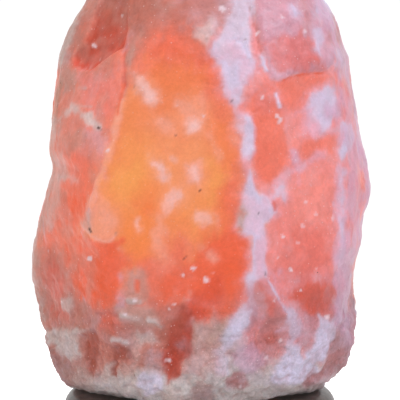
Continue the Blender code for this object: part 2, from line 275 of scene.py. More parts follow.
def new_material(name: str) -> tuple[bpy.types.Material, Tree, bpy.types.Node]:
    """Starts a node material.

    Args:
        name: the material's name.

    Returns:
        The material, its tree and its Principled shader.
    """
    material = bpy.data.materials.new(name)
    material.use_nodes = True
    tree = material.node_tree
    return material, tree, tree.nodes["Principled BSDF"]


def wear(target: Thing, material: bpy.types.Material) -> None:
    """Gives an object one material in all of its slots."""
    if not target.data.materials:
        target.data.materials.append(material)
    for number in range(len(target.data.materials)):
        target.data.materials[number] = material


def placed(name: str, data: Any) -> Thing:
    """Puts a mesh, a light or a camera into the scene under a name."""
    made = bpy.data.objects.new(name, data)
    bpy.context.scene.collection.objects.link(made)
    return made


def placed_shape(name: str, shape: bmesh.types.BMesh) -> Thing:
    """Puts a shape into the scene under a name, and frees it."""
    mesh = bpy.data.meshes.new(name)
    shape.to_mesh(mesh)
    shape.free()
    return placed(name, mesh)


class Tone(Enum):
    """A colour of the salt as it looks when lit, the share of it that is the bulb's light, and its frosting.

    The frosting says how strongly white wisps run through it. Where it is low, rusty wisps do.
    """

    LAVENDER = ("#DED2E8", 0.10, 0.60)
    LILAC_GREY = ("#CBBFCB", 0.08, 0.80)
    CHALK = ("#E8DEDC", 0.10, 0.12)
    MILK = ("#D8C6C0", 0.10, 0.30)
    CRUST = ("#E4DBD7", 0.06, 0.20)
    LILAC_ROSE = ("#D69CA8", 0.12, 0.60)
    PALE_PINK = ("#ECB0BF", 0.24, 0.60)
    LILAC_PINK = ("#DFB0C6", 0.14, 0.50)
    SNOW = ("#F0E8FF", 0.14, 0.20)
    ROSE_MILK = ("#FAC4BC", 0.50, 0.30)
    BLUSH = ("#F8B4A4", 0.62, 0.30)
    ROSE = ("#EB8A88", 0.38, 0.55)
    ROSE_GREY = ("#D699A2", 0.18, 0.45)
    SALMON = ("#F49088", 0.44, 0.25)
    CORAL_PINK = ("#F79084", 0.52, 0.14)
    CORAL_LIGHT = ("#F37C66", 0.58, 0.05)
    CORAL = ("#F0785E", 0.58, 0.10)
    CORAL_RED = ("#E66A58", 0.42, 0.06)
    RED_ORANGE = ("#F06846", 0.68, 0.04)
    FLAME = ("#F0623C", 0.75, 0.05)
    DEEP_RED = ("#DC5038", 0.60, 0.02)
    EMBER = ("#DA5F4C", 0.45, 0.02)
    BRICK = ("#C34C36", 0.40, 0.02)
    TERRACOTTA = ("#BE6C5B", 0.30, 0.15)
    BRICK_DARK = ("#BE4E3A", 0.28, 0.03)
    BROWN_RED = ("#B85A46", 0.20, 0.08)
    RED_BROWN_ROSE = ("#CB6455", 0.24, 0.12)
    DUSKY_PINK = ("#D68373", 0.25, 0.10)
    DUSKY_ROSE = ("#D68C8A", 0.20, 0.35)
    GREY_PINK = ("#D0A094", 0.16, 0.15)
    TAN = ("#D8AEA4", 0.16, 0.30)
    TAUPE = ("#C08074", 0.18, 0.25)
    MAUVE = ("#C9979C", 0.12, 0.70)
    MAUVE_ROSE = ("#CC8C8A", 0.14, 0.20)
    MAUVE_BROWN = ("#B68480", 0.10, 0.35)
    PLUM_GREY = ("#A8808E", 0.08, 0.40)
    OLIVE = ("#B08C74", 0.08, 0.10)
    LICHEN = ("#BDB19C", 0.06, 0.10)
    PEACH = ("#F8A389", 0.66, 0.15)
    WARM_ORANGE = ("#F2804E", 0.76, 0.00)
    ORANGE = ("#F28A56", 0.80, 0.00)
    BRIGHT_ORANGE = ("#F58546", 0.85, 0.00)
    AMBER = ("#F59458", 0.86, 0.00)
    GOLD = ("#F6A058", 0.90, 0.00)
    # White of the crystals, with a painted highlight
    CRYSTAL = ("#F6E6EC", 0.15, 0.30)
    UMBER = ("#54382E", 0.0, 0.00)

    @property
    def colour(self) -> Colour:
        """The tone in linear light."""
        return linear(self.value[0])

    @property
    def glow(self) -> float:
        """The share of the tone that the bulb gives."""
        return self.value[1]

    @property
    def frost(self) -> float:
        """How strongly white wisps run through the tone."""
        return self.value[2]


@dataclass(frozen=True)
class View:
    """The view that the lamp is photographed from, a long lens a little above the middle of the lump."""

    middle_height_mm: float = 100.9
    distance_mm: float = 800.0
    elevation_degrees: float = 4.5
    pixels: int = 400
    pixel_mm: float = 0.4

    @property
    def field_mm(self) -> float:
        """How wide the picture is at the lamp's axis."""
        return self.pixels * self.pixel_mm

    @property
    def backward(self) -> np.ndarray:
        """The direction from the lamp to the lens."""
        tilt = math.radians(self.elevation_degrees)
        return np.array([0.0, -math.cos(tilt), math.sin(tilt)])

    @property
    def lens_place(self) -> np.ndarray:
        """Where the lens is, in mm."""
        return np.array([0.0, 0.0, self.middle_height_mm]) + self.backward * self.distance_mm

    def pixels_of(self, points: np.ndarray) -> np.ndarray:
        """Finds where points lie in the picture.

        Args:
            points: positions in mm.

        Returns:
            (across, down) in pixels.
        """
        away = points - self.lens_place
        upward = np.array([0.0, self.backward[2], -self.backward[1]])
        scale = self.distance_mm / (away @ -self.backward) / self.pixel_mm
        return self.pixels / 2 + np.stack([away[:, 0] * scale, -(away @ upward) * scale], axis=1)


VIEW = View()


class Form(Enum):
    """How a mark's points are read."""

    PATCH = "a closed outline, filled"
    LINE = "a stroke along the points"


@dataclass(frozen=True)
class Mark:
    """A place on the front of the lump with a tone of its own, which may also stand proud or lie deeper."""

    name: str
    form: Form
    reach: float
    soft: float
    points: Line
    tone: Tone
    amount: float
    lift_mm: float = 0.0

    def distance(self, spots: np.ndarray) -> np.ndarray:
        """Measures how far each spot lies outside the mark.

        Args:
            spots: (across, down) in pixels.

        Returns:
            Distances in pixels, negative inside.
        """
        filled = self.form is Form.PATCH
        corners = np.array(self.points, float)
        ends = np.roll(corners, -1, axis=0) if filled else corners[1:]
        nearest = np.full(len(spots), 1e9)
        inside = np.zeros(len(spots), bool)
        for start, end in zip(corners, ends):
            along = end - start
            away = spots - start
            share = np.clip(away @ along / max(along @ along, 1e-9), 0.0, 1.0)
            nearest = np.minimum(nearest, np.hypot(*(away - share[:, None] * along).T))
            crosses = (start[1] > spots[:, 1]) != (end[1] > spots[:, 1])
            meets = start[0] + (spots[:, 1] - start[1]) * along[0] / (along[1] if along[1] else 1e-9)
            inside ^= crosses & (spots[:, 0] < meets)
        return np.where(inside & filled, -nearest, nearest) - self.reach

    def coverage(self, spots: np.ndarray, warp: np.ndarray,
                 fray: np.ndarray) -> tuple[np.ndarray, np.ndarray]:
        """Finds which spots the mark covers: a core with a frayed edge, in a veil that bleeds past it.

        Args:
            spots: (across, down) in pixels.
            warp: how far the grain of the salt pulls each spot aside, in pixels.
            fray: how far small grains push the edge in or out at each spot, in pixels.

        Returns:
            The numbers of the spots near the mark, and how much it covers each, from 0 to 1.
        """
        corners = np.array(self.points, float)
        margin = self.reach + 1.6 * self.soft + 10.0
        near = np.all((spots > corners.min(axis=0) - margin) & (spots < corners.max(axis=0) + margin), axis=1)
        chosen = np.flatnonzero(near)
        wander = min(0.9, max(0.15, self.soft / 8.0))
        away = self.distance(spots[chosen] + warp[chosen] * wander)
        frayed = away + fray[chosen] * min(1.2, 0.1 * self.soft)
        core = 1.0 - smooth_step(frayed, -0.6 * self.soft, 0.6 * self.soft)
        veil = 1.0 - smooth_step(away, -1.6 * self.soft, 1.6 * self.soft)
        return chosen, 0.62 * core + 0.38 * veil

    def fringe(self) -> Mark | None:
        """The pink fringe round a bluish white mark, where it thins out over redder salt."""
        if self.tone is not Tone.LAVENDER:
            return None
        return replace(self, reach=self.reach + 2.5, soft=self.soft + 4.0, tone=Tone.PALE_PINK, lift_mm=0.0,
                       amount=0.5 * self.amount)


def patch(name: str, soft: float, tone: Tone, amount: float, *points: Pair, grow: float = 0.0,
          lift_mm: float = 0.0) -> Mark:
    """Makes a filled mark.

    Args:
        name: its name.
        soft: how soft its edge is, in pixels.
        tone: its tone.
        amount: its strength, from 0 to 1.
        points: its outline.
        grow: how far it reaches past its outline, in pixels.
        lift_mm: how far it stands proud.

    Returns:
        The mark.
    """
    return Mark(name, Form.PATCH, grow, soft, points, tone, amount, lift_mm)


def stroke(name: str, reach: float, soft: float, tone: Tone, amount: float, *points: Pair,
           lift_mm: float = 0.0) -> Mark:
    """Makes a mark that runs along a line.

    Args:
        name: its name.
        reach: half its width, in pixels.
        soft: how soft its edge is, in pixels.
        tone: its tone.
        amount: its strength, from 0 to 1.
        points: its line.
        lift_mm: how far it stands proud.

    Returns:
        The mark.
    """
    return Mark(name, Form.LINE, reach, soft, points, tone, amount, lift_mm)


# Marks on the front of the lump, in the order that they cover each other. Points are across and down.
MARKS: tuple[Mark, ...] = (
    patch("left face", 8, Tone.CORAL, 1, (40, -10), (128, -10), (126, 105), (108, 160), (92, 200), (84, 236),
      (76, 262), (40, 262)),
    patch("left face dusk", 16, Tone.DUSKY_PINK, 1, (28, 250), (76, 250), (90, 300), (110, 330), (110, 400),
      (30, 400)),
    patch("glow field", 26, Tone.ORANGE, 1, (128, 60), (226, 70), (238, 120), (244, 200), (236, 250),
      (200, 262), (120, 262), (86, 238), (118, 120)),
    patch("glow top", 20, Tone.CORAL, 1, (124, -10), (232, -10), (226, 70), (238, 110), (225, 95), (190, 82),
      (150, 76), (124, 84)),
    patch("under the glow, left", 7, Tone.RED_ORANGE, 1, (73, 255), (86, 239), (102, 241), (117, 240),
      (126, 254), (129, 264), (122, 271), (117, 302), (109, 312), (99, 315), (84, 302), (78, 289)),
    patch("under the glow, middle", 16, Tone.CORAL, 0.9, (126, 256), (190, 240), (190, 300), (160, 320),
      (120, 312)),
    patch("under the glow, right", 9, Tone.RED_ORANGE, 1, (186, 262), (214, 236), (240, 228), (250, 240),
      (251, 268), (240, 296), (226, 312), (206, 318), (190, 300)),
    patch("right face", 7, Tone.SALMON, 1, (250, -10), (360, -10), (380, 180), (350, 300), (300, 320),
      (262, 290), (266, 220), (256, 190), (246, 120)),
    patch("lower right", 10, Tone.ROSE, 0.9, (266, 270), (356, 270), (362, 340), (330, 380), (250, 385),
      (236, 330), (250, 290)),
    patch("foot crust", 14, Tone.CRUST, 0.9, (40, 372), (150, 366), (200, 352), (232, 350), (260, 362),
      (320, 358), (340, 372), (330, 410), (60, 410)),
    patch("foot, left middle", 12, Tone.DUSKY_PINK, 1, (92, 316), (124, 306), (164, 308), (196, 330),
      (196, 372), (92, 372)),
    patch("foot, middle", 8, Tone.TAN, 0.9, (186, 322), (222, 318), (236, 300), (250, 310), (240, 345),
      (222, 372), (186, 372), (176, 350)),
    patch("rim, upper left", 8, Tone.TAUPE, 0.9, (86, -10), (96, -10), (91, 20), (70, 66), (56, 72), (50, 60),
      (60, 30), (74, 6)),
    stroke("rim frost", 4, 6, Tone.MILK, 0.8, (80, 12), (68, 34), (62, 50), (60, 62)),
    patch("beside the scoop", 5, Tone.DUSKY_PINK, 0.9, (92, -10), (104, -10), (93, 29), (85, 44), (78, 52),
      (80, 36), (88, 14), grow=1),
    patch("red scoop", 1.8, Tone.BRICK, 1, (96, 13), (91, 29), (84, 45), (75, 56), (75, 65), (81, 70),
      (91, 68), (96, 65), (102, 61), (109, 56), (117, 50), (122, 47), (124, 43), (126, 26), (127, -4),
      (102, -10), lift_mm=-1.7),
    stroke("red scoop, lower edge", 4, 9, Tone.DEEP_RED, 0.95, (78, 63), (86, 66), (94, 62), (121, 40),
      (121, 24)),
    # Painted shade over the top of the scoop, where the light falls off
    patch("scoop, dull top", 14, Tone.TERRACOTTA, 0.5, (98, -10), (128, -10), (126, 10), (112, 14), (99, 12)),
    patch("below the scoop", 8, Tone.DUSKY_PINK, 0.8, (66, 62), (80, 72), (92, 71), (104, 63), (116, 54),
      (118, 62), (100, 76), (84, 84), (70, 84), (60, 74), lift_mm=0.5),
    patch("grey under the scoop", 8, Tone.GREY_PINK, 0.75, (62, 70), (76, 72), (82, 84), (74, 92), (64, 88),
      (60, 78)),
    stroke("brown rim", 2.6, 5, Tone.OLIVE, 0.7, (60, 82), (58, 92), (56, 112), (53, 124)),
    patch("left face, warm", 12, Tone.SALMON, 0.7, (82, 76), (118, 66), (120, 96), (112, 120), (98, 118),
      (84, 104)),
    patch("left face, red", 12, Tone.RED_ORANGE, 0.35, (88, 94), (106, 90), (108, 108), (94, 106)),
    patch("left face, warm low", 10, Tone.CORAL_PINK, 0.5, (76, 120), (104, 122), (104, 150), (92, 162),
      (76, 154)),
    stroke("pale patch 1", 3.4, 4, Tone.CHALK, 0.7, (68, 112), (72, 107), (76, 110)),
    patch("pale patch 2", 3.5, Tone.CHALK, 0.8, (80, 112), (91, 111), (96, 121), (104, 130), (96, 131),
      (81, 119)),
    stroke("pale dash 1", 1, 2, Tone.MILK, 0.5, (80, 88), (87, 88)),
    stroke("pale dash 2", 0.9, 2, Tone.MILK, 0.5, (80, 106), (92, 106)),
    patch("pale patch 3", 7, Tone.GREY_PINK, 0.5, (66, 134), (78, 130), (86, 136), (84, 148), (72, 150),
      (64, 146)),
    patch("pale patch 4", 9, Tone.PALE_PINK, 0.55, (90, 132), (106, 132), (108, 142), (100, 156), (92, 152),
      (88, 142)),
    stroke("pale patch 5", 2.4, 4, Tone.CHALK, 0.5, (62, 178), (70, 177), (77, 181)),
    stroke("rim, left", 3.2, 5, Tone.GREY_PINK, 0.8, (54, 120), (51, 140), (54, 172), (38, 222), (33, 246)),
    stroke("rim, left, pale", 4, 8, Tone.MILK, 0.55, (58, 124), (60, 150), (64, 172), (52, 204), (48, 224)),
    stroke("red streak, left", 2.5, 5, Tone.RED_ORANGE, 0.5, (72, 118), (64, 132), (61, 150)),
    patch("left face, coral low", 12, Tone.RED_ORANGE, 0.75, (64, 200), (88, 196), (82, 226), (66, 226),
      (58, 214)),
    patch("left face, coral mid", 12, Tone.CORAL_LIGHT, 0.7, (74, 150), (98, 158), (98, 176), (84, 190),
      (70, 176)),
    stroke("ridge, pale", 4, 4, Tone.PEACH, 1, (125, 104), (120, 121), (113, 140), (108, 159), (102, 174),
      (97, 190), (91, 206), lift_mm=0.6),
    stroke("ridge, pale top", 1.6, 3.5, Tone.GREY_PINK, 0.3, (133, -4), (128, 56), (127, 84), (126, 100)),
    stroke("crack", 1.3, 2.6, Tone.CORAL_RED, 0.8, (127, -8), (126, 20), (125, 40), (123, 61), (123, 71),
      (123, 86), lift_mm=-0.5),
    stroke("crack, lower", 1.1, 2, Tone.RED_ORANGE, 0.8, (122, 84), (121, 97), (119, 115)),
    patch("top, dusky", 12, Tone.DUSKY_PINK, 0.85, (128, -10), (232, -10), (222, 40), (205, 44), (196, 26),
      (172, 24), (150, 34), (132, 60)),
    patch("top, grey streak", 9, Tone.TAUPE, 0.6, (132, 2), (160, -8), (168, 12), (150, 24), (138, 44),
      (130, 70), (127, 60)),
    stroke("top, grey patch", 3.5, 6, Tone.MILK, 0.5, (156, 4), (164, 9), (172, 4)),
    patch("top, coral", 13, Tone.RED_ORANGE, 0.65, (154, 34), (176, 22), (186, 40), (184, 54), (166, 60),
      (150, 54)),
    patch("top, coral right", 12, Tone.RED_ORANGE, 0.55, (190, 56), (210, 54), (218, 72), (212, 80),
      (194, 76)),
    stroke("top, pale streak", 2.2, 4, Tone.GREY_PINK, 0.6, (142, 32), (134, 46), (129, 60)),
    patch("brown grey top", 9, Tone.TAUPE, 0.7, (196, -10), (232, -10), (226, 18), (214, 40), (204, 46),
      (194, 36), (200, 14)),
    patch("top, in shade", 24, Tone.TERRACOTTA, 0.72, (96, -20), (244, -20), (232, 20), (190, 34), (140, 34),
      (100, 18)),
    patch("frosted patch", 3.5, Tone.CHALK, 0.5, (196, 28), (206, 24), (212, 16), (216, 24), (212, 40),
      (208, 50), (202, 44), (194, 38), lift_mm=0.4),
    patch("vein, upper", 4, Tone.LAVENDER, 1, (231, -8), (231, 13), (227, 22), (222, 32), (214, 42),
      (209, 50), (215, 58), (220, 71), (222, 89), (227, 97), (235, 105), (238, 108), (240, 116), (241, 116),
      (242, 102), (244, 92), (246, 82), (251, 71), (255, 61), (254, 51), (250, 38), (251, 26), (255, 12),
      (260, -8), lift_mm=0.45),
    # Painted shade where the light falls off over the crown and the top of the vein
    patch("vein and crown, light falls off", 14, Tone.MAUVE, 0.42, (182, -14), (268, -14), (262, 26),
      (240, 36), (196, 34), (184, 22)),
    patch("crown, dusk", 10, Tone.TERRACOTTA, 0.22, (176, -10), (214, -10), (214, 22), (196, 30), (178, 20)),
    patch("vein, upper, dusk", 12, Tone.LILAC_GREY, 0.35, (222, -10), (258, -10), (256, 44), (218, 50),
      (214, 38), (226, 16)),
    patch("vein, pink clouds", 9, Tone.PALE_PINK, 0.6, (216, 42), (228, 38), (240, 44), (244, 56), (236, 62),
      (222, 60), (216, 52)),
    stroke("vein, pink clouds low", 4, 7, Tone.PALE_PINK, 0.6, (246, 62), (243, 78), (241, 92)),
    stroke("vein, pale side", 2, 4, Tone.PALE_PINK, 0.5, (217, 50), (224, 84), (232, 100), (241, 116)),
    patch("vein, lens", 3.5, Tone.LAVENDER, 1, (244, 116), (250, 117), (253, 128), (253, 140), (253, 150),
      (250, 158), (244, 161), (240, 156), (242, 143), (243, 128), grow=0.4, lift_mm=0.4),
    stroke("vein, gap", 3, 5, Tone.PALE_PINK, 0.7, (244, 160), (247, 172)),
    stroke("vein, narrow", 2.4, 4, Tone.PALE_PINK, 0.8, (240, 106), (241, 118)),
    patch("vein, lower", 3.5, Tone.LAVENDER, 1, (250, 171), (253, 179), (256, 189), (263, 195), (270, 202),
      (277, 211), (270, 219), (264, 229), (264, 238), (265, 257), (268, 275), (262, 277), (256, 282),
      (254, 297), (251, 310), (247, 325), (240, 334), (226, 344), (220, 340), (228, 325), (235, 312),
      (241, 297), (246, 279), (251, 269), (251, 251), (249, 238), (244, 233), (236, 228), (240, 213),
      (242, 200), (245, 185), lift_mm=0.5),
    patch("vein, lower, pink veil", 8, Tone.PALE_PINK, 0.45, (244, 196), (266, 198), (272, 212), (264, 234),
      (248, 240), (242, 214)),
    patch("vein, pink part", 6, Tone.PALE_PINK, 0.7, (252, 240), (264, 240), (266, 262), (264, 276),
      (254, 274)),
    patch("vein, pink fan", 8, Tone.ROSE_GREY, 0.95, (246, 284), (256, 282), (266, 300), (262, 322),
      (250, 330), (240, 322), (242, 300)),
    patch("vein, green grey", 5, Tone.LICHEN, 0.7, (240, 208), (244, 204), (247, 214), (245, 226), (240, 230),
      (238, 222)),
    patch("vein, white fan", 4, Tone.SNOW, 0.85, (240, 308), (248, 310), (247, 326), (240, 342), (224, 352),
      (222, 336)),
    patch("red strip", 2.5, Tone.ROSE, 0.7, (251, 12), (256, 26), (260, 42), (263, 56), (262, 72), (257, 72),
      (256, 56), (253, 40), (250, 24), lift_mm=-0.5),
    stroke("strip shade", 0.6, 1.4, Tone.BROWN_RED, 0.45, (248, 4), (251, 13), (256, 26), (258, 38),
      (261, 50), (263, 57), lift_mm=-0.7),
    patch("upper right block", 2.2, Tone.LILAC_ROSE, 1, (255, -8), (332, -8), (336, 36), (334, 64), (326, 70),
      (290, 76), (274, 80), (268, 70), (262, 44), (256, 20), lift_mm=0.6),
    patch("block, thick part", 3.5, Tone.LILAC_ROSE, 0.3, (256, -8), (314, -8), (318, 36), (318, 66),
      (290, 76), (274, 80), (268, 70), (262, 44), (256, 20), lift_mm=0.8),
    patch("block, flank", 5, Tone.ROSE_GREY, 0.9, (328, -10), (352, -10), (360, 40), (352, 70), (338, 68),
      (332, 40)),
    patch("right face, pink haze", 6, Tone.PALE_PINK, 0.5, (288, 108), (302, 98), (312, 104), (324, 136),
      (304, 138), (286, 126)),
    stroke("right face, pale trail", 2.2, 4, Tone.PALE_PINK, 0.65, (283, 184), (291, 173), (312, 158),
      (323, 152)),
    patch("right face, pale knot", 4, Tone.LILAC_PINK, 0.7, (292, 156), (299, 152), (301, 162), (295, 166)),
    patch("block, red part", 7, Tone.CORAL_RED, 0.65, (268, 44), (294, 36), (308, 34), (316, 44), (318, 60),
      (324, 69), (304, 71), (288, 76), (276, 72), (268, 58)),
    stroke("block, red flank", 5, 7, Tone.DUSKY_PINK, 0.45, (306, -6), (304, 12), (308, 30)),
    patch("block, lavender spot", 5, Tone.LAVENDER, 0.8, (287, 8), (297, 8), (300, 16), (292, 19)),
    patch("block, lavender streak", 4, Tone.LAVENDER, 0.8, (311, 28), (319, 28), (321, 42), (319, 54),
      (313, 52), (314, 40)),
    patch("block, top lavender", 6, Tone.LAVENDER, 0.9, (312, -8), (328, -8), (334, 12), (326, 20),
      (316, 12)),
    patch("block, dark rim", 7, Tone.DUSKY_ROSE, 0.75, (325, 24), (337, 23), (343, 36), (339, 48), (328, 44)),
    patch("block, lavender low", 5, Tone.LAVENDER, 0.6, (332, 50), (342, 46), (349, 60), (344, 70),
      (334, 66)),
    stroke("block, coral tongue", 3, 4, Tone.CORAL_RED, 0.45, (310, 60), (319, 63), (326, 69)),
    patch("block, pale lip", 2, Tone.PALE_PINK, 0.85, (268, 70), (276, 74), (290, 73), (292, 77), (276, 81),
      (270, 79), lift_mm=0.5),
    patch("white lens on the strip", 1.8, Tone.LAVENDER, 0.95, (260, 56), (263, 54), (266, 62), (268, 72),
      (264, 72), (261, 64), lift_mm=0.5),
    patch("under the ledge, red", 4, Tone.CORAL_LIGHT, 0.8, (274, 82), (295, 76), (327, 75), (320, 83),
      (314, 94), (308, 102), (299, 111), (290, 112), (282, 102), (281, 92)),
    stroke("ledge, glowing line", 1, 1.6, Tone.FLAME, 0.85, (283, 80), (292, 77), (300, 75), (312, 74),
      (322, 73), lift_mm=-0.9),
    patch("lavender patch", 4.5, Tone.LAVENDER, 0.9, (324, 87), (336, 89), (337, 102), (333, 121), (327, 134),
      (319, 138), (315, 125), (308, 115), (309, 100), (315, 90), lift_mm=0.4),
    patch("lavender patch, tail", 6, Tone.PALE_PINK, 0.75, (300, 112), (314, 108), (318, 124), (326, 134),
      (336, 128), (342, 134), (330, 142), (316, 138), (304, 124)),
    patch("red flank", 4, Tone.ROSE, 0.85, (338, 68), (346, 74), (350, 100), (348, 118), (340, 112),
      (337, 92)),
    patch("big red face", 4, Tone.CORAL_LIGHT, 1, (241, 107), (251, 93), (262, 87), (274, 86), (281, 110),
      (285, 122), (287, 140), (287, 166), (282, 176), (272, 184), (262, 181), (254, 166), (256, 147),
      (254, 128), (249, 112), (243, 112), lift_mm=-0.6),
    stroke("big red face, pink side", 2, 4, Tone.ROSE, 0.5, (244, 112), (247, 100), (256, 90)),
    patch("big red face, pink brow", 8, Tone.ROSE, 0.45, (252, 92), (274, 86), (284, 100), (284, 112),
      (262, 112), (250, 106)),
    stroke("white sliver", 1.3, 1.8, Tone.SNOW, 0.95, (276, 95), (278, 101), (280, 107), lift_mm=0.3),
    patch("coral patch a", 5, Tone.CORAL_LIGHT, 0.8, (300, 150), (308, 143), (318, 140), (327, 130),
      (337, 136), (338, 147), (330, 156), (318, 152), (308, 163), (301, 161)),
    patch("coral patch b", 12, Tone.CORAL_PINK, 0.9, (300, 172), (318, 166), (334, 172), (334, 200),
      (326, 232), (290, 232), (292, 190)),
    patch("coral patch c", 14, Tone.CORAL_RED, 0.6, (288, 226), (328, 226), (332, 262), (300, 284),
      (280, 266)),
    patch("coral column", 8, Tone.CORAL_PINK, 0.8, (286, 112), (300, 116), (300, 140), (294, 150),
      (288, 134)),
    stroke("lavender spot", 2.8, 3, Tone.PALE_PINK, 0.9, (294, 152), (296, 160)),
    stroke("pale streak across", 3, 5, Tone.PALE_PINK, 0.55, (276, 184), (288, 172), (300, 168), (322, 153)),
    stroke("vein edge dots", 2.4, 4, Tone.LAVENDER, 0.6, (272, 196), (282, 188), (284, 200)),
    stroke("red fleck in the vein", 2.2, 2.5, Tone.CORAL_RED, 0.85, (273, 203), (274, 209)),
    patch("lavender streak 1", 3, Tone.LAVENDER, 0.95, (342, 122), (351, 124), (354, 134), (350, 150),
      (342, 159), (339, 153), (344, 138), lift_mm=0.4),
    patch("lavender streak 2", 4, Tone.PALE_PINK, 0.9, (337, 166), (346, 170), (347, 200), (346, 236),
      (348, 268), (338, 280), (335, 262), (337, 230), (334, 196)),
    stroke("lavender streak 2, core", 2, 4, Tone.LAVENDER, 0.75, (342, 172), (342, 198), (341, 226),
      (344, 262)),
    stroke("rim, right", 4, 4, Tone.LILAC_PINK, 0.9, (345, 60), (352, 88), (360, 140), (370, 176), (370, 190),
      (364, 226), (359, 274), (356, 292)),
    stroke("red thread", 1.3, 2, Tone.CORAL_RED, 0.8, (356, 127), (355, 153), (350, 207), (352, 226),
      (351, 241), (353, 257), (351, 272)),
    stroke("red thread, outer", 1.8, 2.5, Tone.CORAL_RED, 0.7, (358, 176), (359, 192), (358, 204),
      (354, 222)),
    stroke("rim, upper right", 2.2, 4, Tone.MAUVE, 0.55, (330, 14), (338, 34), (343, 52), (355, 112)),
    patch("lower coral", 5, Tone.CORAL_RED, 1, (291, 297), (302, 289), (318, 282), (330, 282), (341, 287),
      (324, 308), (315, 315), (305, 310), grow=1),
    patch("lower coral, dull foot", 5, Tone.EMBER, 0.9, (298, 292), (318, 288), (334, 290), (328, 306),
      (314, 316), (302, 312), grow=3),
    patch("triangle face", 3, Tone.DUSKY_ROSE, 0.9, (256, 284), (265, 277), (289, 316), (288, 328),
      (270, 320), (258, 312), (254, 300)),
    patch("triangle, reddish", 7, Tone.CORAL_RED, 0.75, (264, 280), (270, 286), (284, 312), (276, 314),
      (268, 306), (262, 292)),
    stroke("triangle edge", 0.7, 1.2, Tone.LAVENDER, 0.9, (266, 276), (274, 291), (284, 308), (289, 316)),
    patch("hollow", 2.5, Tone.DUSKY_ROSE, 0.8, (256, 333), (269, 321), (286, 316), (290, 329), (286, 340),
      (282, 350), (272, 353), (262, 353), (255, 343), lift_mm=-0.8),
    stroke("hollow, ring", 0.7, 1.2, Tone.CORAL_PINK, 0.7, (258, 330), (256, 338), (259, 347), (268, 353),
      (278, 352), (285, 345), lift_mm=0.5),
    patch("hollow, red heart", 4, Tone.RED_BROWN_ROSE, 0.7, (263, 336), (272, 330), (279, 336), (276, 346),
      (266, 347)),
    stroke("hollow shade", 1, 2, Tone.BROWN_RED, 0.7, (256, 342), (259, 349), (263, 353)),
    stroke("hollow crystals", 1.3, 2, Tone.PALE_PINK, 0.7, (277, 333), (283, 330), (288, 329)),
    patch("pink below the facet", 4, Tone.ROSE_GREY, 0.75, (301, 312), (315, 317), (316, 338), (308, 350),
      (297, 347)),
    patch("lavender low 1", 2.5, Tone.SNOW, 0.95, (318, 315), (330, 322), (337, 311), (344, 319), (337, 330),
      (332, 347), (324, 361), (313, 363), (302, 356), (315, 343), lift_mm=0.6),
    patch("lavender low 2", 4, Tone.SNOW, 0.95, (290, 339), (297, 345), (302, 356), (315, 363), (320, 371),
      (308, 381), (292, 384), (269, 384), (274, 367), (285, 350), lift_mm=0.5),
    patch("lavender low 3", 4, Tone.LAVENDER, 0.75, (287, 310), (297, 312), (298, 330), (292, 340),
      (288, 326)),
    patch("right foot face", 1.8, Tone.MAUVE_ROSE, 0.95, (338, 322), (352, 326), (358, 334), (354, 352),
      (342, 370), (324, 378), (306, 387), (301, 382), (322, 370), (327, 353), (333, 336), lift_mm=-0.5),
    stroke("rim, lower right", 3, 4, Tone.MAUVE, 0.85, (352, 300), (356, 312), (357, 326), (354, 344),
      (346, 360)),
    patch("right, lower shade", 12, Tone.MAUVE, 0.25, (324, 282), (366, 280), (362, 345), (334, 352),
      (316, 330)),
    patch("right, lower rim in shade", 8, Tone.MAUVE, 0.8, (342, 252), (372, 244), (372, 344), (346, 338),
      (342, 300)),
    # Painted shade on the lower right rim, in plum grey
    patch("right, lower rim, plum", 8, Tone.PLUM_GREY, 0.4, (336, 300), (372, 290), (372, 344), (344, 350),
      (334, 324)),
    stroke("left, nub", 2, 2.5, Tone.GREY_PINK, 0.7, (48, 342), (48, 348), lift_mm=2),
    stroke("left, lower bulge", 3, 7, Tone.MAUVE_BROWN, 0.2, (50, 336), (53, 350), (58, 364), (65, 378),
      lift_mm=1),
    patch("foot, pink brown", 2.5, Tone.MAUVE_ROSE, 0.9, (233, 373), (240, 371), (247, 376), (250, 386),
      (240, 389), (228, 388), (226, 380), lift_mm=-0.6),
    patch("foot, pink below hollow", 8, Tone.LILAC_PINK, 0.8, (236, 342), (256, 344), (264, 358), (258, 372),
      (240, 370), (230, 356)),
    patch("foot, beige", 5, Tone.LICHEN, 0.25, (208, 326), (218, 318), (228, 320), (228, 336), (220, 348),
      (210, 344)),
    stroke("red line over the window", 1.2, 2.5, Tone.BROWN_RED, 0.7, (96, 314), (104, 313), (116, 315),
      (127, 316), lift_mm=-0.6),
    stroke("window, left edge", 1, 1.8, Tone.BRICK_DARK, 0.7, (113, 350), (114, 364), (115, 377),
      lift_mm=-0.5),
    patch("foot, whitish", 5, Tone.SNOW, 0.6, (212, 350), (222, 346), (230, 360), (228, 374), (218, 372)),
    patch("right foot mauve", 6, Tone.MAUVE, 0.7, (300, 374), (326, 370), (330, 380), (318, 388), (302, 386)),
    stroke("rim, lower left", 4, 6, Tone.GREY_PINK, 0.85, (35, 228), (34, 250), (35, 272), (42, 320)),
    patch("left, brown red", 10, Tone.CORAL_RED, 0.6, (52, 262), (62, 272), (70, 290), (72, 322), (60, 324),
      (54, 300), (40, 274)),
    patch("left, brown red core", 9, Tone.CORAL_RED, 0.5, (56, 270), (66, 276), (70, 300), (70, 320),
      (58, 316), (54, 292)),
    patch("left, pale chunk", 2.5, Tone.CHALK, 0.6, (63, 297), (74, 297), (75, 306), (72, 315), (68, 312),
      (62, 306), lift_mm=1),
    patch("left, grey patch", 4, Tone.CHALK, 0.85, (49, 329), (62, 328), (77, 329), (81, 340), (82, 353),
      (75, 363), (65, 358), (56, 349), (49, 338), lift_mm=1.2),
    stroke("left, crystals", 2.2, 2.5, Tone.CHALK, 0.9, (77, 331), (84, 333), (91, 332), lift_mm=0.7),
    patch("left foot", 5, Tone.MAUVE_BROWN, 0.8, (50, 346), (60, 356), (70, 366), (76, 384), (66, 388),
      (54, 370), lift_mm=0.5),
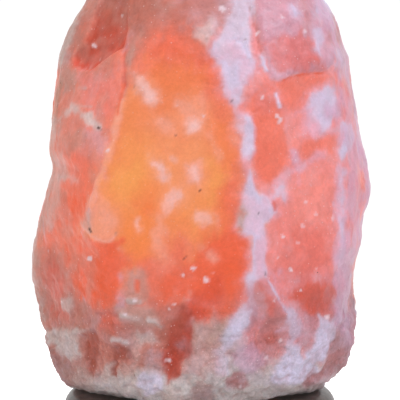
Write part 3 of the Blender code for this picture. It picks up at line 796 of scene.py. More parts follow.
    patch("left foot, shade", 8, Tone.MAUVE_BROWN, 0.4, (46, 346), (86, 362), (104, 382), (62, 394),
      (50, 370)),
    patch("brown stripe", 2.5, Tone.BROWN_RED, 0.85, (80, 334), (94, 328), (98, 338), (96, 360), (93, 378),
      (88, 375), (86, 355), (84, 341), lift_mm=-1),
    patch("red above the stripe", 8, Tone.CORAL_RED, 0.6, (98, 314), (112, 312), (120, 322), (114, 332),
      (100, 330)),
    patch("brown patch", 2, Tone.BROWN_RED, 0.9, (112, 345), (130, 347), (133, 356), (126, 362), (118, 360),
      (116, 376), (112, 376), lift_mm=-0.9),
    stroke("white streak", 2, 3, Tone.CHALK, 0.8, (112, 341), (120, 340), (129, 343), lift_mm=0.7),
    patch("grey fleck low", 4, Tone.CHALK, 0.6, (103, 362), (112, 364), (113, 378), (104, 374), lift_mm=0.6),
    patch("middle grey", 5, Tone.GREY_PINK, 0.8, (114, 306), (135, 305), (154, 308), (163, 321), (162, 329),
      (141, 328), (122, 320), lift_mm=0.5),
    stroke("middle white", 1.8, 3, Tone.CHALK, 0.7, (122, 315), (130, 317), (140, 319), lift_mm=0.8),
    stroke("middle white 2", 2, 3, Tone.CHALK, 0.8, (150, 320), (158, 322), (162, 328), lift_mm=0.6),
    patch("pale column", 6, Tone.GREY_PINK, 0.75, (127, 270), (136, 268), (147, 274), (150, 290), (146, 304),
      (130, 304), (124, 296)),
    stroke("pale column foot", 2, 2.5, Tone.MILK, 0.8, (128, 301), (134, 301), (140, 302), lift_mm=0.5),
    stroke("pale column eye", 2, 2.5, Tone.FLAME, 0.8, (138, 283), (138, 290), lift_mm=-0.5),
    patch("red middle", 7, Tone.FLAME, 0.75, (164, 271), (177, 269), (186, 282), (183, 292), (173, 289),
      (170, 302), (163, 307), (159, 294)),
    patch("coral between", 8, Tone.CORAL, 0.8, (146, 262), (164, 262), (158, 306), (150, 304), (150, 284)),
    patch("deep red", 6, Tone.DEEP_RED, 0.95, (188, 302), (200, 291), (212, 278), (222, 272), (226, 290),
      (222, 306), (211, 312), (209, 320), (201, 321), (191, 321), (187, 312), lift_mm=-0.6),
    patch("flame right", 10, Tone.FLAME, 0.7, (210, 262), (236, 252), (240, 270), (232, 292), (220, 290)),
    patch("flame low", 10, Tone.FLAME, 0.5, (194, 282), (234, 282), (240, 298), (228, 314), (206, 320),
      (190, 306)),
    patch("dark red foot", 4.5, Tone.BRICK, 1, (181, 308), (192, 314), (194, 338), (190, 355), (183, 362),
      (178, 374), (168, 384), (165, 374), (163, 354), (168, 336), lift_mm=-1),
    patch("dull red", 7, Tone.TERRACOTTA, 0.4, (160, 308), (184, 306), (184, 322), (164, 350), (158, 334)),
    patch("whitish in the foot", 6, Tone.CHALK, 0.55, (138, 331), (154, 331), (156, 342), (144, 344)),
    stroke("foot, pale between the stripes", 5, 8, Tone.CHALK, 0.4, (136, 338), (134, 356), (128, 372)),
    patch("white crystals low", 4, Tone.SNOW, 0.85, (139, 374), (150, 371), (161, 378), (162, 391),
      (146, 393), (138, 386), lift_mm=0.8),
    patch("foot, white left of the middle", 5, Tone.CHALK, 0.5, (96, 384), (132, 386), (136, 394), (112, 394),
      (98, 390)),
    patch("foot, white in the middle", 5, Tone.CHALK, 0.25, (196, 356), (206, 350), (212, 366), (208, 384),
      (196, 388), (190, 372)),
    patch("foot, rosy veil in the middle", 10, Tone.DUSKY_ROSE, 0.3, (184, 342), (216, 342), (222, 368),
      (206, 380), (188, 372)),
    patch("foot mauve", 7, Tone.LILAC_GREY, 0.5, (150, 352), (160, 356), (160, 370), (146, 368)),
    patch("foot brown", 5, Tone.MAUVE_BROWN, 0.7, (193, 389), (213, 388), (214, 402), (192, 402),
      lift_mm=-0.8),
    patch("coral seam beside fan", 5, Tone.RED_ORANGE, 0.75, (226, 292), (244, 284), (246, 298), (238, 312),
      (224, 318), (220, 308), grow=2),
    patch("glow, edge along the ridge", 2.6, Tone.ORANGE, 0.8, (128, 88), (123, 118), (111, 157), (93, 207),
      (99, 206), (112, 208), (124, 180), (134, 140), (140, 104), (138, 84)),
    patch("glow, orange crest", 18, Tone.WARM_ORANGE, 0.85, (148, 62), (186, 60), (206, 78), (196, 100),
      (172, 118), (148, 112)),
    patch("glow, red right side", 12, Tone.CORAL, 0.75, (208, 92), (226, 98), (236, 124), (242, 200),
      (236, 226), (224, 200), (222, 160), (212, 130)),
    patch("glow, orange right", 12, Tone.BRIGHT_ORANGE, 0.6, (210, 116), (230, 124), (236, 160), (226, 168),
      (216, 150)),
    patch("glow, amber field", 18, Tone.AMBER, 0.9, (112, 150), (124, 132), (150, 136), (168, 150),
      (170, 180), (160, 212), (140, 236), (110, 206), (104, 180)),
    patch("glow, gold heart", 16, Tone.GOLD, 0.8, (122, 168), (134, 162), (148, 166), (152, 182), (144, 198),
      (126, 198), (118, 184)),
    patch("glow, gold right", 10, Tone.GOLD, 0.8, (206, 160), (216, 158), (222, 176), (220, 198), (210, 204),
      (206, 184)),
    patch("glow, amber right", 16, Tone.AMBER, 0.7, (168, 150), (200, 140), (214, 160), (212, 210),
      (196, 230), (172, 216), (166, 180)),
    patch("glow, peach veil", 16, Tone.PEACH, 0.22, (150, 112), (206, 104), (212, 150), (204, 190),
      (172, 196), (152, 172)),
    patch("glow, orange low", 14, Tone.BRIGHT_ORANGE, 0.75, (128, 214), (150, 206), (160, 226), (156, 256),
      (134, 262), (122, 244)),
    patch("glow, deep orange", 12, Tone.FLAME, 0.3, (140, 180), (150, 178), (160, 190), (158, 216),
      (146, 220), (136, 204)),
    stroke("glow, amber streak low", 4.5, 8, Tone.AMBER, 0.7, (192, 224), (193, 240), (192, 256)),
    patch("glow, coral low", 10, Tone.RED_ORANGE, 0.6, (204, 232), (230, 226), (236, 240), (226, 254),
      (208, 256)),
    patch("glow, right flank", 9, Tone.RED_ORANGE, 0.5, (216, 190), (234, 184), (241, 214), (236, 238),
      (220, 234)),
    patch("glow, pale cloud a", 11, Tone.PEACH, 0.85, (174, 98), (190, 92), (206, 104), (206, 122),
      (190, 128), (176, 118)),
    stroke("glow, pale tail", 4.5, 6, Tone.GREY_PINK, 0.45, (133, 72), (138, 82), (142, 90)),
    patch("glow, pink blob", 7, Tone.BLUSH, 1, (136, 77), (147, 81), (158, 90), (158, 100), (150, 107),
      (143, 102)),
    stroke("glow, pink blob core", 2.6, 5, Tone.ROSE_MILK, 0.9, (145, 90), (151, 100)),
    stroke("glow, blob 2", 5, 6, Tone.BLUSH, 1, (189, 126), (196, 126)),
    stroke("glow, blob 2 core", 2.6, 4, Tone.ROSE_MILK, 1, (190, 126), (195, 126)),
    stroke("glow, blob 3", 6, 7, Tone.PEACH, 0.8, (160, 122), (166, 127)),
    stroke("glow, blob 4", 4, 6, Tone.BLUSH, 1, (156, 164), (160, 172), (164, 178)),
    stroke("glow, blob 4 core", 2.6, 4, Tone.ROSE_MILK, 0.9, (156, 164), (159, 168)),
    patch("glow, blob 5", 7, Tone.PEACH, 0.95, (184, 164), (200, 162), (206, 176), (200, 188), (186, 184)),
    stroke("glow, blob 5 core", 2.6, 4, Tone.ROSE_MILK, 0.7, (192, 170), (197, 180)),
    patch("glow, blob 6", 8, Tone.BLUSH, 0.95, (166, 196), (182, 190), (188, 200), (176, 210), (164, 210)),
    stroke("glow, blob 7", 4, 8, Tone.BLUSH, 1, (201, 218), (209, 219)),
    stroke("glow, blob 8", 2.6, 4, Tone.BLUSH, 0.8, (136, 222), (139, 231)),
    stroke("glow, blob 9", 2, 3, Tone.BLUSH, 0.6, (172, 157), (175, 159)),
    patch("glow, pale column", 8, Tone.PEACH, 0.7, (154, 219), (164, 216), (166, 240), (176, 262), (160, 262),
      (154, 246)),
    patch("glow, rosy cloud", 10, Tone.CORAL, 0.6, (164, 236), (186, 232), (200, 246), (192, 262),
      (172, 262)),
    stroke("glow, lilac blob", 4, 6, Tone.BLUSH, 0.6, (212, 253), (214, 259)),
    stroke("glow, side pinks", 3, 5, Tone.PEACH, 0.55, (212, 134), (216, 148), (220, 158)),
    patch("lip", 8, Tone.PEACH, 0.7, (84, 219), (89, 206), (98, 198), (108, 202), (113, 214), (116, 228),
      (112, 237), (108, 239), (103, 240), (96, 237), (91, 233), (84, 227), lift_mm=0.8),
    stroke("under the lip", 3, 2.5, Tone.RED_ORANGE, 0.85, (82, 238), (92, 243), (104, 247), (114, 246),
      (122, 240)),
    stroke("lip, edge", 0.9, 1.6, Tone.BLUSH, 0.6, (85, 228), (92, 235), (98, 238), (104, 241), (112, 240),
      (117, 233), lift_mm=0.4),
    stroke("lip, grey", 2.6, 4, Tone.TAN, 0.7, (88, 215), (87, 224), (90, 231)),
    patch("lip, coral beside", 8, Tone.FLAME, 0.5, (72, 196), (88, 192), (86, 204), (80, 218), (70, 220)),
    patch("lower glow core", 10, Tone.FLAME, 0.6, (88, 262), (108, 256), (116, 270), (114, 290), (100, 292),
      (90, 280)),
    patch("under the lip, left", 5, Tone.RED_ORANGE, 0.9, (72, 246), (90, 241), (100, 258), (98, 284),
      (78, 288), (71, 264), grow=4),
    patch("under the lip, flame", 6, Tone.FLAME, 0.55, (74, 238), (92, 242), (98, 262), (94, 294), (78, 296),
      (72, 264), grow=2),
    patch("column stain", 9, Tone.DUSKY_PINK, 0.3, (74, 250), (80, 262), (80, 280), (74, 300), (66, 290),
      (64, 264)),
    stroke("coral eye low", 3, 5, Tone.FLAME, 0.4, (104, 318), (112, 320)),
)

# White crystals, painted white with a painted highlight where they catch the light: across, down and radius
# in pixels
GLINTING_CRYSTALS: tuple[Spot, ...] = (
    (91, 45, 2.2), (95, 21, 1), (119, 15, 1.2), (109, 34, 0.9), (98, 58, 0.8), (209, 17, 1.3),
    (211, 29, 2.4), (206, 38, 1.6), (207, 45, 1.2), (223, 10, 2.2), (254, 24, 1.6), (257, 33, 1.4),
    (262, 98, 1.3), (277, 116, 2.6), (280, 120, 2.6), (251, 106, 1.2),
    (281, 19, 1.4), (304, 33, 1.8), (309, 25, 1.1), (303, 12, 0.9), (108, 150, 1.2), (177, 106, 1.4),
    (204, 115, 0.9), (90, 259, 1.6), (194, 268, 2.4), (204, 279, 2.6), (181, 270, 1), (183, 276, 1.2),
    (175, 305, 1.9), (170, 310, 2), (170, 360, 2.4), (284, 236, 1.8), (292, 269, 1.6), (300, 290, 1.3),
    (315, 270, 1.2), (306, 202, 1), (332, 219, 0.9), (314, 213, 0.9), (295, 241, 0.9), (298, 242, 0.8),
    (278, 257, 0.9), (275, 300, 1), (282, 340, 2.6), (274, 352, 2.4), (265, 358, 2), (247, 337, 1.6),
    (303, 226, 0.8), (310, 184, 0.8), (327, 316, 1.5), (194, 377, 1.2), (62, 178, 1), (49, 252, 1.3),
    (64, 300, 1.2), (246, 130, 0.8), (240, 386, 1.2), (154, 386, 1.6), (125, 314, 1.6), (136, 301, 2.2),
    (160, 324, 1.6), (122, 298, 0.8), (196, 244, 0.8), (211, 273, 0.9), (150, 222, 0.8),
)

# Dark mineral specks: across, down and radius in pixels
SPECKS: tuple[Spot, ...] = (
    (98, 129, 1.4), (101, 130, 1.1), (89, 229, 1.9), (91, 231, 1.8), (117, 234, 1.2), (186, 256, 1.1),
    (185, 258, 1), (200, 192, 0.8), (258, 212, 1.3), (265, 273, 1.3), (273, 236, 0.9), (174, 135, 0.5),
    (166, 90, 0.5), (135, 85, 0.6), (134, 87, 0.5), (95, 8, 0.7), (227, 286, 0.6), (58, 105, 0.8),
    (255, 113, 0.6), (232, 100, 0.6), (246, 40, 0.5), (216, 34, 0.6), (85, 384, 0.8), (115, 376, 0.8),
    (134, 376, 0.7), (91, 376, 0.7), (220, 336, 0.5), (90, 341, 0.6),
)


@dataclass(frozen=True)
class HewnHalite:
    """Pink rock salt (halite), broken and dressed with a chisel, then wiped with a damp cloth.

    The cloth leaves it waxy rather than sparkling: a soft sheen, cloudy depth, and fine cubic steps from its
    cleavage.
    """

    ior: float = 1.544
    sheen: float = 0.3
    roughness: Pair = (0.30, 0.52)
    crumbled_roughness: float = 0.12
    cloud_mm: float = 5.0
    cloud_swing: Pair = (0.5, 0.14)
    grain_mm: float = 1.1
    grain_swing: Pair = (0.3, 0.9)
    wisp_mm: float = 9.0
    wisp_height: float = 0.8
    white_share: float = 0.75
    white_salt: str = "#DCCAD8"
    rust_share: float = 0.4
    rust_tint: Colour = (0.88, 0.60, 0.52)
    crystal: str = "#FBEAEA"
    crystal_show: Pair = (0.52, 0.12)
    fleck_mm: float = 3.6
    fine_fleck_mm: float = 1.08
    speck_mm: float = 11.0
    depth_mm: float = 3.0
    milkiness: float = 0.22
    scattering: Colour = (1.0, 0.45, 0.35)
    dimple_mm: Pair = (3.2, 0.65)
    dimple_strength: Pair = (0.6, 1.0)
    cleavage_mm: Pair = (2.4, 0.35)
    step_strength: Pair = (0.12, 0.75)
    crystal_height_mm: float = 0.18

    def material(self) -> bpy.types.Material:
        """Makes the material. It reads the lump's own tone and glow from its mesh."""
        material, tree, shader = new_material("halite_hewn_and_wiped")
        place = add_node(tree, "TexCoord").outputs["Object"]
        tone = add_node(tree, "Attribute", {"attribute_name": "tone"}).outputs["Color"]
        state = add_node(tree, "Attribute", {"attribute_name": "state"}).outputs["Vector"]
        glow, frost, crust = add_node(tree, "SeparateXYZ", links={0: state}).outputs

        # Cloudiness inside the salt: soft lighter and darker wisps some millimetres across
        cloud = noise_texture(tree, place, self.cloud_mm, 5.0, 0.62, 0.5)
        swing = remapped(tree, glow, (0.5, 0.85), self.cloud_swing)
        wisps = math_node(tree, "MULTIPLY_ADD", math_node(tree, "SUBTRACT", cloud, 0.5), swing, 1.0)
        grain = noise_texture(tree, place, self.grain_mm, 3.0, 0.75)
        contrast = remapped(tree, crust, (0.0, 1.0), self.grain_swing)
        grains = math_node(tree, "MULTIPLY_ADD", math_node(tree, "SUBTRACT", grain, 0.5), contrast, 1.0)
        clouded = scaled(tree, tone, math_node(tree, "MULTIPLY", wisps, grains))

        # White and rusty salt run through each other in ragged wisps, except where the bulb shines through
        tall = add_node(tree, "Mapping", {"Scale": (1.0, 1.0, self.wisp_height)}, {"Vector": place})
        ragged = noise_texture(tree, tall.outputs[0], self.wisp_mm, 9.0, 0.66, 0.35)
        pale = remapped(tree, ragged, (0.48, 0.68), (0.0, self.white_share))
        pale_here = math_node(tree, "MULTIPLY", pale, frost)
        rust = remapped(tree, ragged, (0.50, 0.32), (0.0, self.rust_share))
        unlit = remapped(tree, glow, (0.1, 0.8), (1.0, 0.12))
        warm = remapped(tree, frost, (0.0, 0.7), (1.0, 0.3))
        rust_here = math_node(tree, "MULTIPLY", rust, math_node(tree, "MULTIPLY", unlit, warm))
        whitened = mixed(tree, pale_here, clouded, linear(self.white_salt))
        rusty = add_node(tree, "VectorMath", {"operation": "MULTIPLY", 1: self.rust_tint}, {0: clouded})
        milky = mixed(tree, rust_here, whitened, rusty.outputs[0])

        # White crystal flecks, and fine white spots that are painted glints on crystal faces, fewer where the
        # bulb shines through
        flecks = self.spots(tree, place, self.fleck_mm, 0.07, (0.04, 0.12))
        fine = self.spots(tree, place, self.fine_fleck_mm, 0.09, (0.06, 0.3))
        white = math_node(tree, "MAXIMUM", flecks, fine)
        shown = math_node(tree, "MULTIPLY", white, remapped(tree, glow, (0.2, 0.8), self.crystal_show))
        sparkled = mixed(tree, shown, milky, linear(self.crystal))
        specks = self.spots(tree, place, self.speck_mm, 0.10, (0.015, 0.03))
        salt = mixed(tree, specks, sparkled, Tone.UMBER.colour)

        # What the studio lights give back, and what comes from the bulb inside
        polish = remapped(tree, cloud, (0.3, 0.7), self.roughness)
        dull = math_node(tree, "MULTIPLY", crust, self.crumbled_roughness)
        feed(tree, shader, {
            "Base Color": scaled(tree, salt, math_node(tree, "SUBTRACT", 1.0, glow)),
            "Emission Color": scaled(tree, salt, glow), "Emission Strength": 1.0,
            "Roughness": math_node(tree, "ADD", polish, dull), "IOR": self.ior,
            "Specular IOR Level": self.sheen, "Subsurface Weight": self.milkiness,
            "Subsurface Radius": self.scattering, "Subsurface Scale": self.depth_mm * MM,
            "Normal": self.surface(tree, place, crust, white),
        })
        return material

    def spots(self, tree: Tree, place: Any, spacing_mm: float, share: float, edge: Pair) -> Any:
        """Scatters small round spots through the salt.

        Args:
            tree: the node tree.
            place: the output that gives positions.
            spacing_mm: how far apart the cells are that may hold a spot.
            share: the share of the cells that holds one.
            edge: where a spot starts to fade and where it ends, as shares of the spacing.

        Returns:
            The output that is 1 in the spots.
        """
        cells = add_node(tree, "TexVoronoi", {"Scale": 1 / (spacing_mm * MM)}, {"Vector": place})
        disc = remapped(tree, cells.outputs["Distance"], edge, (1.0, 0.0))
        pick = add_node(tree, "SeparateXYZ", links={0: cells.outputs["Color"]})
        return math_node(tree, "MULTIPLY", disc, math_node(tree, "LESS_THAN", pick.outputs["X"], share))

    def surface(self, tree: Tree, place: Any, crust: Any, white: Any) -> Any:
        """Makes the fine relief of the surface: soft dimples, cleavage steps and raised crystals.

        Args:
            tree: the node tree.
            place: the output that gives positions.
            crust: the output that is 1 where the salt is crumbled.
            white: the output that is 1 on a crystal.

        Returns:
            The normal's output.
        """
        dimple_size, dimple_depth = self.dimple_mm
        step_size, step_depth = self.cleavage_mm
        dimples = noise_texture(tree, place, dimple_size, 5.0, 0.58)
        steps = add_node(tree, "TexVoronoi", {"Scale": 1 / (step_size * MM), "distance": "CHEBYCHEV"},
                         {"Vector": place}).outputs["Distance"]
        soft = relief(tree, dimples, dimple_depth, remapped(tree, crust, (0.0, 1.0), self.dimple_strength))
        stepped = relief(tree, steps, step_depth, remapped(tree, crust, (0.0, 1.0), self.step_strength), soft)
        return relief(tree, white, self.crystal_height_mm, 0.6, stepped)


@dataclass(frozen=True)
class TurnedHardwood:
    """Stained hardwood, turned on a lathe and thinly lacquered: dark pores and rings under a satin skin."""

    wander_mm: float = 35.714
    ring_mm: float = 3.2
    pore_mm: float = 0.7
    pore_length: float = 0.06
    pore_depth_mm: float = 0.12
    lacquer: float = 0.35
    lacquer_roughness: float = 0.28
    roughness: Pair = (0.34, 0.5)
    dark: str = "#2E211D"
    light: str = "#523D34"

    def material(self) -> bpy.types.Material:
        """Makes the material."""
        material, tree, shader = new_material("hardwood_turned_stained_lacquered")
        place = add_node(tree, "TexCoord").outputs["Object"]
        # The board's rings run nearly flat through the disc, so they arc across its top
        shifted = add_node(tree, "Mapping", {"Location": (0.02, 0.31, 0.24), "Rotation": (0.12, 0.05, 0.0)},
                           {"Vector": place})
        rings = add_node(tree, "TexWave", {
            "wave_type": "RINGS", "rings_direction": "X", "Scale": 0.16 / (self.ring_mm * MM),
            "Distortion": 5.0, "Detail": 4.0, "Detail Scale": 2.5}, {"Vector": shifted.outputs[0]})
        wander = noise_texture(tree, place, self.wander_mm)
        along = add_node(tree, "Mapping", {"Scale": (self.pore_length, 1.0, 1.0)}, {"Vector": place})
        pores = noise_texture(tree, along.outputs[0], self.pore_mm, 3.0, 0.7)
        ringed = math_node(tree, "MULTIPLY", rings.outputs["Fac"], pores)
        shade = math_node(tree, "ADD", ringed, wander)
        feed(tree, shader, {
            "Base Color": two_tone(tree, shade, (0.38, linear(self.dark)), (1.0, linear(self.light))),
            "Roughness": remapped(tree, pores, (0.35, 0.65), self.roughness),
            "Coat Weight": self.lacquer, "Coat Roughness": self.lacquer_roughness,
            "Normal": relief(tree, pores, self.pore_depth_mm, 0.5),
        })
        return material


@dataclass(frozen=True)
class PlainFinish:
    """A manufactured surface: one colour, broken up by the fine texture that its making leaves."""

    name: str
    colour: str
    roughness: float
    metallic: float = 0.0
    texture_mm: float = 0.6
    stretch: Spot = (1.0, 1.0, 1.0)
    depth_mm: float = 0.03
    glow: float = 0.0
    warmth: str = "#FFB45A"

    def material(self) -> bpy.types.Material:
        """Makes the material."""
        material, tree, shader = new_material(self.name)
        place = add_node(tree, "TexCoord").outputs["Object"]
        shaped = add_node(tree, "Mapping", {"Scale": self.stretch}, {"Vector": place})
        grain = noise_texture(tree, shaped.outputs[0], self.texture_mm)
        base = Vector(linear(self.colour))
        feed(tree, shader, {
            "Base Color": two_tone(tree, grain, (0.3, base * 0.86), (0.7, base * 1.06)),
            "Roughness": remapped(tree, grain, (0.3, 0.7), (self.roughness * 0.8, self.roughness * 1.2)),
            "Metallic": self.metallic, "Normal": relief(tree, grain, self.depth_mm, 0.4),
        })
        if self.glow:
            warm = (*linear(self.warmth), 1.0)
            feed(tree, shader, {"Emission Color": warm, "Emission Strength": self.glow})
        return material


# Bulk ABS from a steel mould: even and satin, with a faint orange peel
MOULDED_ABS = PlainFinish("abs_moulded_white", "#D8D6CE", 0.45)
# Soda-lime glass, blown and frosted inside: milky, and warm from the filament
BLOWN_GLASS = PlainFinish("glass_blown_pearl", "#F6E2C0", 0.22, texture_mm=1.2, depth_mm=0.01, glow=1.5)
# Brass, rolled and nickelled: bright with soft bands round the thread
NICKELLED_BRASS = PlainFinish("brass_rolled_nickelled", "#C9C5BA", 0.28, metallic=1.0,
                              stretch=(1.0, 1.0, 6.0))
# Spring steel, cold rolled into strip: fine lines along the leaf
ROLLED_STEEL = PlainFinish("spring_steel_cold_rolled", "#9FA1A4", 0.32, metallic=1.0, stretch=(6.0, 6.0, 0.4))
# Steel, headed and zinc plated: bluish and a little uneven
ZINC_PLATE = PlainFinish("steel_zinc_plated", "#B4B5AE", 0.36, metallic=1.0)
# Rubber from a mould, dusted: black with a grey bloom
MOULDED_RUBBER = PlainFinish("rubber_moulded_black", "#1C1B1A", 0.75, texture_mm=0.9, depth_mm=0.06)
# Acrylic, cast in a sheet and matted: white and even
CAST_ACRYLIC = PlainFinish("acrylic_cast_white_matt", "#F6F6F6", 0.6, texture_mm=0.5, depth_mm=0.004)


@dataclass
class Skin:
    """What is known of each vertex of the lump, in one row each."""

    points: np.ndarray
    normals: np.ndarray
    height: np.ndarray
    front: np.ndarray
    spots: np.ndarray
    warp: np.ndarray
    fray: np.ndarray

    def noise(self, size: float | Spot, shift: float) -> np.ndarray:
        """Smooth noise of a size in mm at each vertex."""
        return noise_at(self.points, size, shift)


class Salt:
    """The salt's colour, glow and frost at each vertex, laid tone over tone."""

    def __init__(self, skin: Skin) -> None:
        """Starts with one even tone."""
        self.rows = np.tile([*Tone.SALMON.colour, Tone.SALMON.glow, Tone.SALMON.frost], (len(skin.points), 1))

    def lay(self, tone: Tone, cover: np.ndarray, chosen: np.ndarray | slice = slice(None)) -> None:
        """Lays one tone over what is there.

        Args:
            tone: the tone to lay.
            cover: how much it covers each vertex.
            chosen: the vertices that it may cover, where not all.
        """
        row = np.array([*tone.colour, tone.glow, tone.frost])
        self.rows[chosen] += (row - self.rows[chosen]) * cover[:, None]

    def grow(self, tone: Tone, field: np.ndarray, start: Any, end: Any, strength: Any) -> None:
        """Lays a tone wherever a field of noise is high.

        Args:
            tone: the tone to lay.
            field: the field's value at each vertex.
            start: the value at which the tone sets in.
            end: the value at which it is full, or a lower one than start to lay it where the field is low.
            strength: how much it then covers, as a number or for each vertex.
        """
        self.lay(tone, smooth_step(field, start, end) * strength)


@dataclass
class SaltLump:
    """The lump: its mesh from the CAD solid, refined, hewn more finely and given the salt's tones."""

    node: str = "salt_lump"
    slot: str = "pink_halite"
    voxel_mm: float = 1.7
    smoothing_rounds: int = 9
    bore_radius_mm: float = 26.0
    bore_depth_mm: float = 118.0
    saw_cut_mm: float = 25.6
    saw_edge_mm: Pair = (0.4, 3.0)
    bulb_height_mm: float = 78.0
    bulb_reach_mm: float = 40.0
    front_ends_mm: Pair = (14.0, 34.0)
    crumbled_mm: Pair = (14.0, 54.0)
    crumble_mm: Pair = (0.4, 2.0)
    crystal_mm: float = 0.35
    foot_mm: Pair = (16.0, 50.0)
    # Painted shade towards the foot: the heights over which it fades out upwards, and how dark it is
    dusk_mm: Pair = (26.0, 66.0)
    painted_foot_shade: float = 0.2
    # Layers of the grain's pull: size in mm, and pull in pixels
    warps: Line = ((13.0, 4.0), (6.0, 3.75), (2.6, 2.5))
    # Layers of fraying: size in mm, shift of the pattern, and depth in pixels
    frays: tuple[tuple[Any, float, float], ...] = (
        ((4.4, 4.4, 7.0), 15.0, 8.5), ((2.1, 2.1, 3.2), 27.0, 6.0), (1.2, 63.0, 3.5),
    )
    # Layers of relief: size in mm, shift of the pattern, depth in mm in firm salt, and more at the foot
    reliefs: tuple[tuple[float, float, float, float], ...] = (
        (17.0, 7.0, 0.5, 0.0), (6.5, 19.0, 0.36, 0.0), (3.0, 5.0, 0.24, 0.35), (1.5, 2.0, 0.12, 0.3),
    )
    # How far in from the edge, and how far up, a chip fades
    chip_reach_mm: tuple[Pair, Pair] = ((4.0, 16.0), (0.0, 8.0))
    # Chips along the lower edge: place across, and height
    chips_mm: Line = (
        (-54, 3.8), (-40, 3.8), (-28, 2.2), (-14, 1.1), (6, 0.7), (22, 0.8), (32, 2.2), (42, 4.2), (54, 3),
    )
    # Flats and bulges of the flanks: height, side, how far out, and reach
    flanks_mm: tuple[tuple[float, int, float, float], ...] = (
        (186, 1, -3.0, 22), (164, 1, -1.2, 8), (85, 1, 1.0, 8), (40, 1, -1.3, 8),
        (180, -1, -1.6, 20), (115, -1, -1.6, 8), (70, -1, 1.0, 14), (54, -1, 0.6, 8),
    )

    def build(self, solid: Thing) -> Thing:
        """Makes the finished lump.

        Args:
            solid: the CAD node that it stands for.

        Returns:
            The lump, painted and dressed.
        """
        lump = self.refined(solid)
        points = self.flanked(self.chipped(self.smoothed(lump, self.read_points(lump))))
        skin = self.skin(lump, points)
        lift, crumble = self.lift(skin)
        self.write_points(lump, self.kept_inside(points + skin.normals * lift[:, None], solid))
        self.paint(lump, skin, crumble)
        wear(lump, HewnHalite().material())
        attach(lump, "root")
        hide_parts(self.node)
        return lump

    def refined(self, solid: Thing) -> Thing:
        """Copies the solid into an even, fine mesh, twice as fine where the front shows it.

        Args:
            solid: the CAD node.

        Returns:
            The new object.
        """
        rough = placed("lump_blank", solid.data.copy())
        remesh = rough.modifiers.new("Even mesh", "REMESH")
        remesh.mode = "VOXEL"
        remesh.voxel_size = self.voxel_mm * MM
        graph = bpy.context.evaluated_depsgraph_get()
        mesh = bpy.data.meshes.new_from_object(rough.evaluated_get(graph))
        bpy.data.objects.remove(rough, do_unlink=True)
        shape = bmesh.new()
        shape.from_mesh(mesh)
        edges = set()
        towards_lens = Vector(VIEW.backward)
        bore_top = self.saw_cut_mm + self.bore_depth_mm
        for face in shape.faces:
            middle = face.calc_center_median() / MM
            outside = middle.xy.length >= self.bore_radius_mm or middle.z >= bore_top
            if outside and face.normal.dot(towards_lens) > 0:
                edges.update(face.edges)
        bmesh.ops.subdivide_edges(shape, edges=list(edges), cuts=1, use_grid_fill=True)
        bmesh.ops.triangulate(shape, faces=[face for face in shape.faces if len(face.verts) > 4])
        mesh.materials.clear()
        shape.to_mesh(mesh)
        shape.free()
        mesh.polygons.foreach_set("use_smooth", np.ones(len(mesh.polygons), bool))
        return placed("halite_lump", mesh)

    def read_points(self, lump: Thing) -> np.ndarray:
        """The lump's vertices in mm."""
        flat = np.empty(len(lump.data.vertices) * 3)
        lump.data.vertices.foreach_get("co", flat)
        return flat.reshape(-1, 3) / MM

    def write_points(self, lump: Thing, points: np.ndarray) -> None:
        """Moves the lump's vertices to points given in mm."""
        lump.data.vertices.foreach_set("co", (points * MM).ravel())
        lump.data.update()

    def smoothed(self, lump: Thing, points: np.ndarray) -> np.ndarray:
        """Rounds off the solid's facets, leaving the bore and the saw cut as they are.

        Args:
            lump: the object, for its edges.
            points: its vertices in mm.

        Returns:
            The smoothed vertices.
        """
        ends = np.empty(len(lump.data.edges) * 2, int)
        lump.data.edges.foreach_get("vertices", ends)
        ends = ends.reshape(-1, 2)
        count = np.bincount(ends.ravel(), minlength=len(points))[:, None]
        outside = self.outside_share(points)[:, None]
        moved = points.copy()
        for _round in range(self.smoothing_rounds):
            total = np.zeros_like(moved)
            for axis in range(3):
                total[:, axis] += np.bincount(ends[:, 0], moved[ends[:, 1], axis], len(points))
                total[:, axis] += np.bincount(ends[:, 1], moved[ends[:, 0], axis], len(points))
            moved += (total / count - moved) * 0.5 * outside
        return moved

    def chipped(self, points: np.ndarray) -> np.ndarray:
        """Breaks away the sharp lower edge in front, as high up as chips_mm gives at each place across.

        Args:
            points: the vertices in mm.

        Returns:
            The vertices with the edge broken.
        """
        height = points[:, 2] - self.saw_cut_mm
        columns = np.round(points[:, 0] / 3.0).astype(int)
        columns -= columns.min()
        edge = np.full(columns.max() + 1, 0.0)
        low = height < 3.0
        np.minimum.at(edge, columns[low], points[low, 1])
        across, rise = np.array(self.chips_mm).T
        inward, upward = self.chip_reach_mm
        share = (1 - smooth_step(points[:, 1] - edge[columns], *inward)) * (1 - smooth_step(height, *upward))
        moved = points.copy()
        moved[:, 2] += np.interp(points[:, 0], across, rise) * share
        return moved

    def flanked(self, points: np.ndarray) -> np.ndarray:
        """Knocks flats off the two flanks and lets the bulges between them stand, as flanks_mm lists them.

        Each has its height, its side (1 for the right), how far it stands out, and how far it reaches up
        and down.

        Args:
            points: the vertices in mm.

        Returns:
            The vertices with the flanks dressed.
        """
        moved = points.copy()
        for height, side, outward, reach in self.flanks_mm:
            level = 1 - smooth_step(np.abs(points[:, 2] - height), 0.0, reach)
            moved[:, 0] += side * outward * level * smooth_step(points[:, 0] * side, 20.0, 45.0)
        return moved

    def outside_share(self, points: np.ndarray) -> np.ndarray:
        """1 on the hewn outside of the lump, 0 in its bore and on its saw cut."""
        start, end = self.saw_edge_mm
        outside = smooth_step(points[:, 2], self.saw_cut_mm + start, self.saw_cut_mm + end)
        return np.where(self.in_bore(points), 0.0, outside)

    def in_bore(self, points: np.ndarray) -> np.ndarray:
        """Says which points lie in the bore."""
        deep = points[:, 2] < self.saw_cut_mm + self.bore_depth_mm
        return (np.hypot(points[:, 0], points[:, 1]) < self.bore_radius_mm) & deep

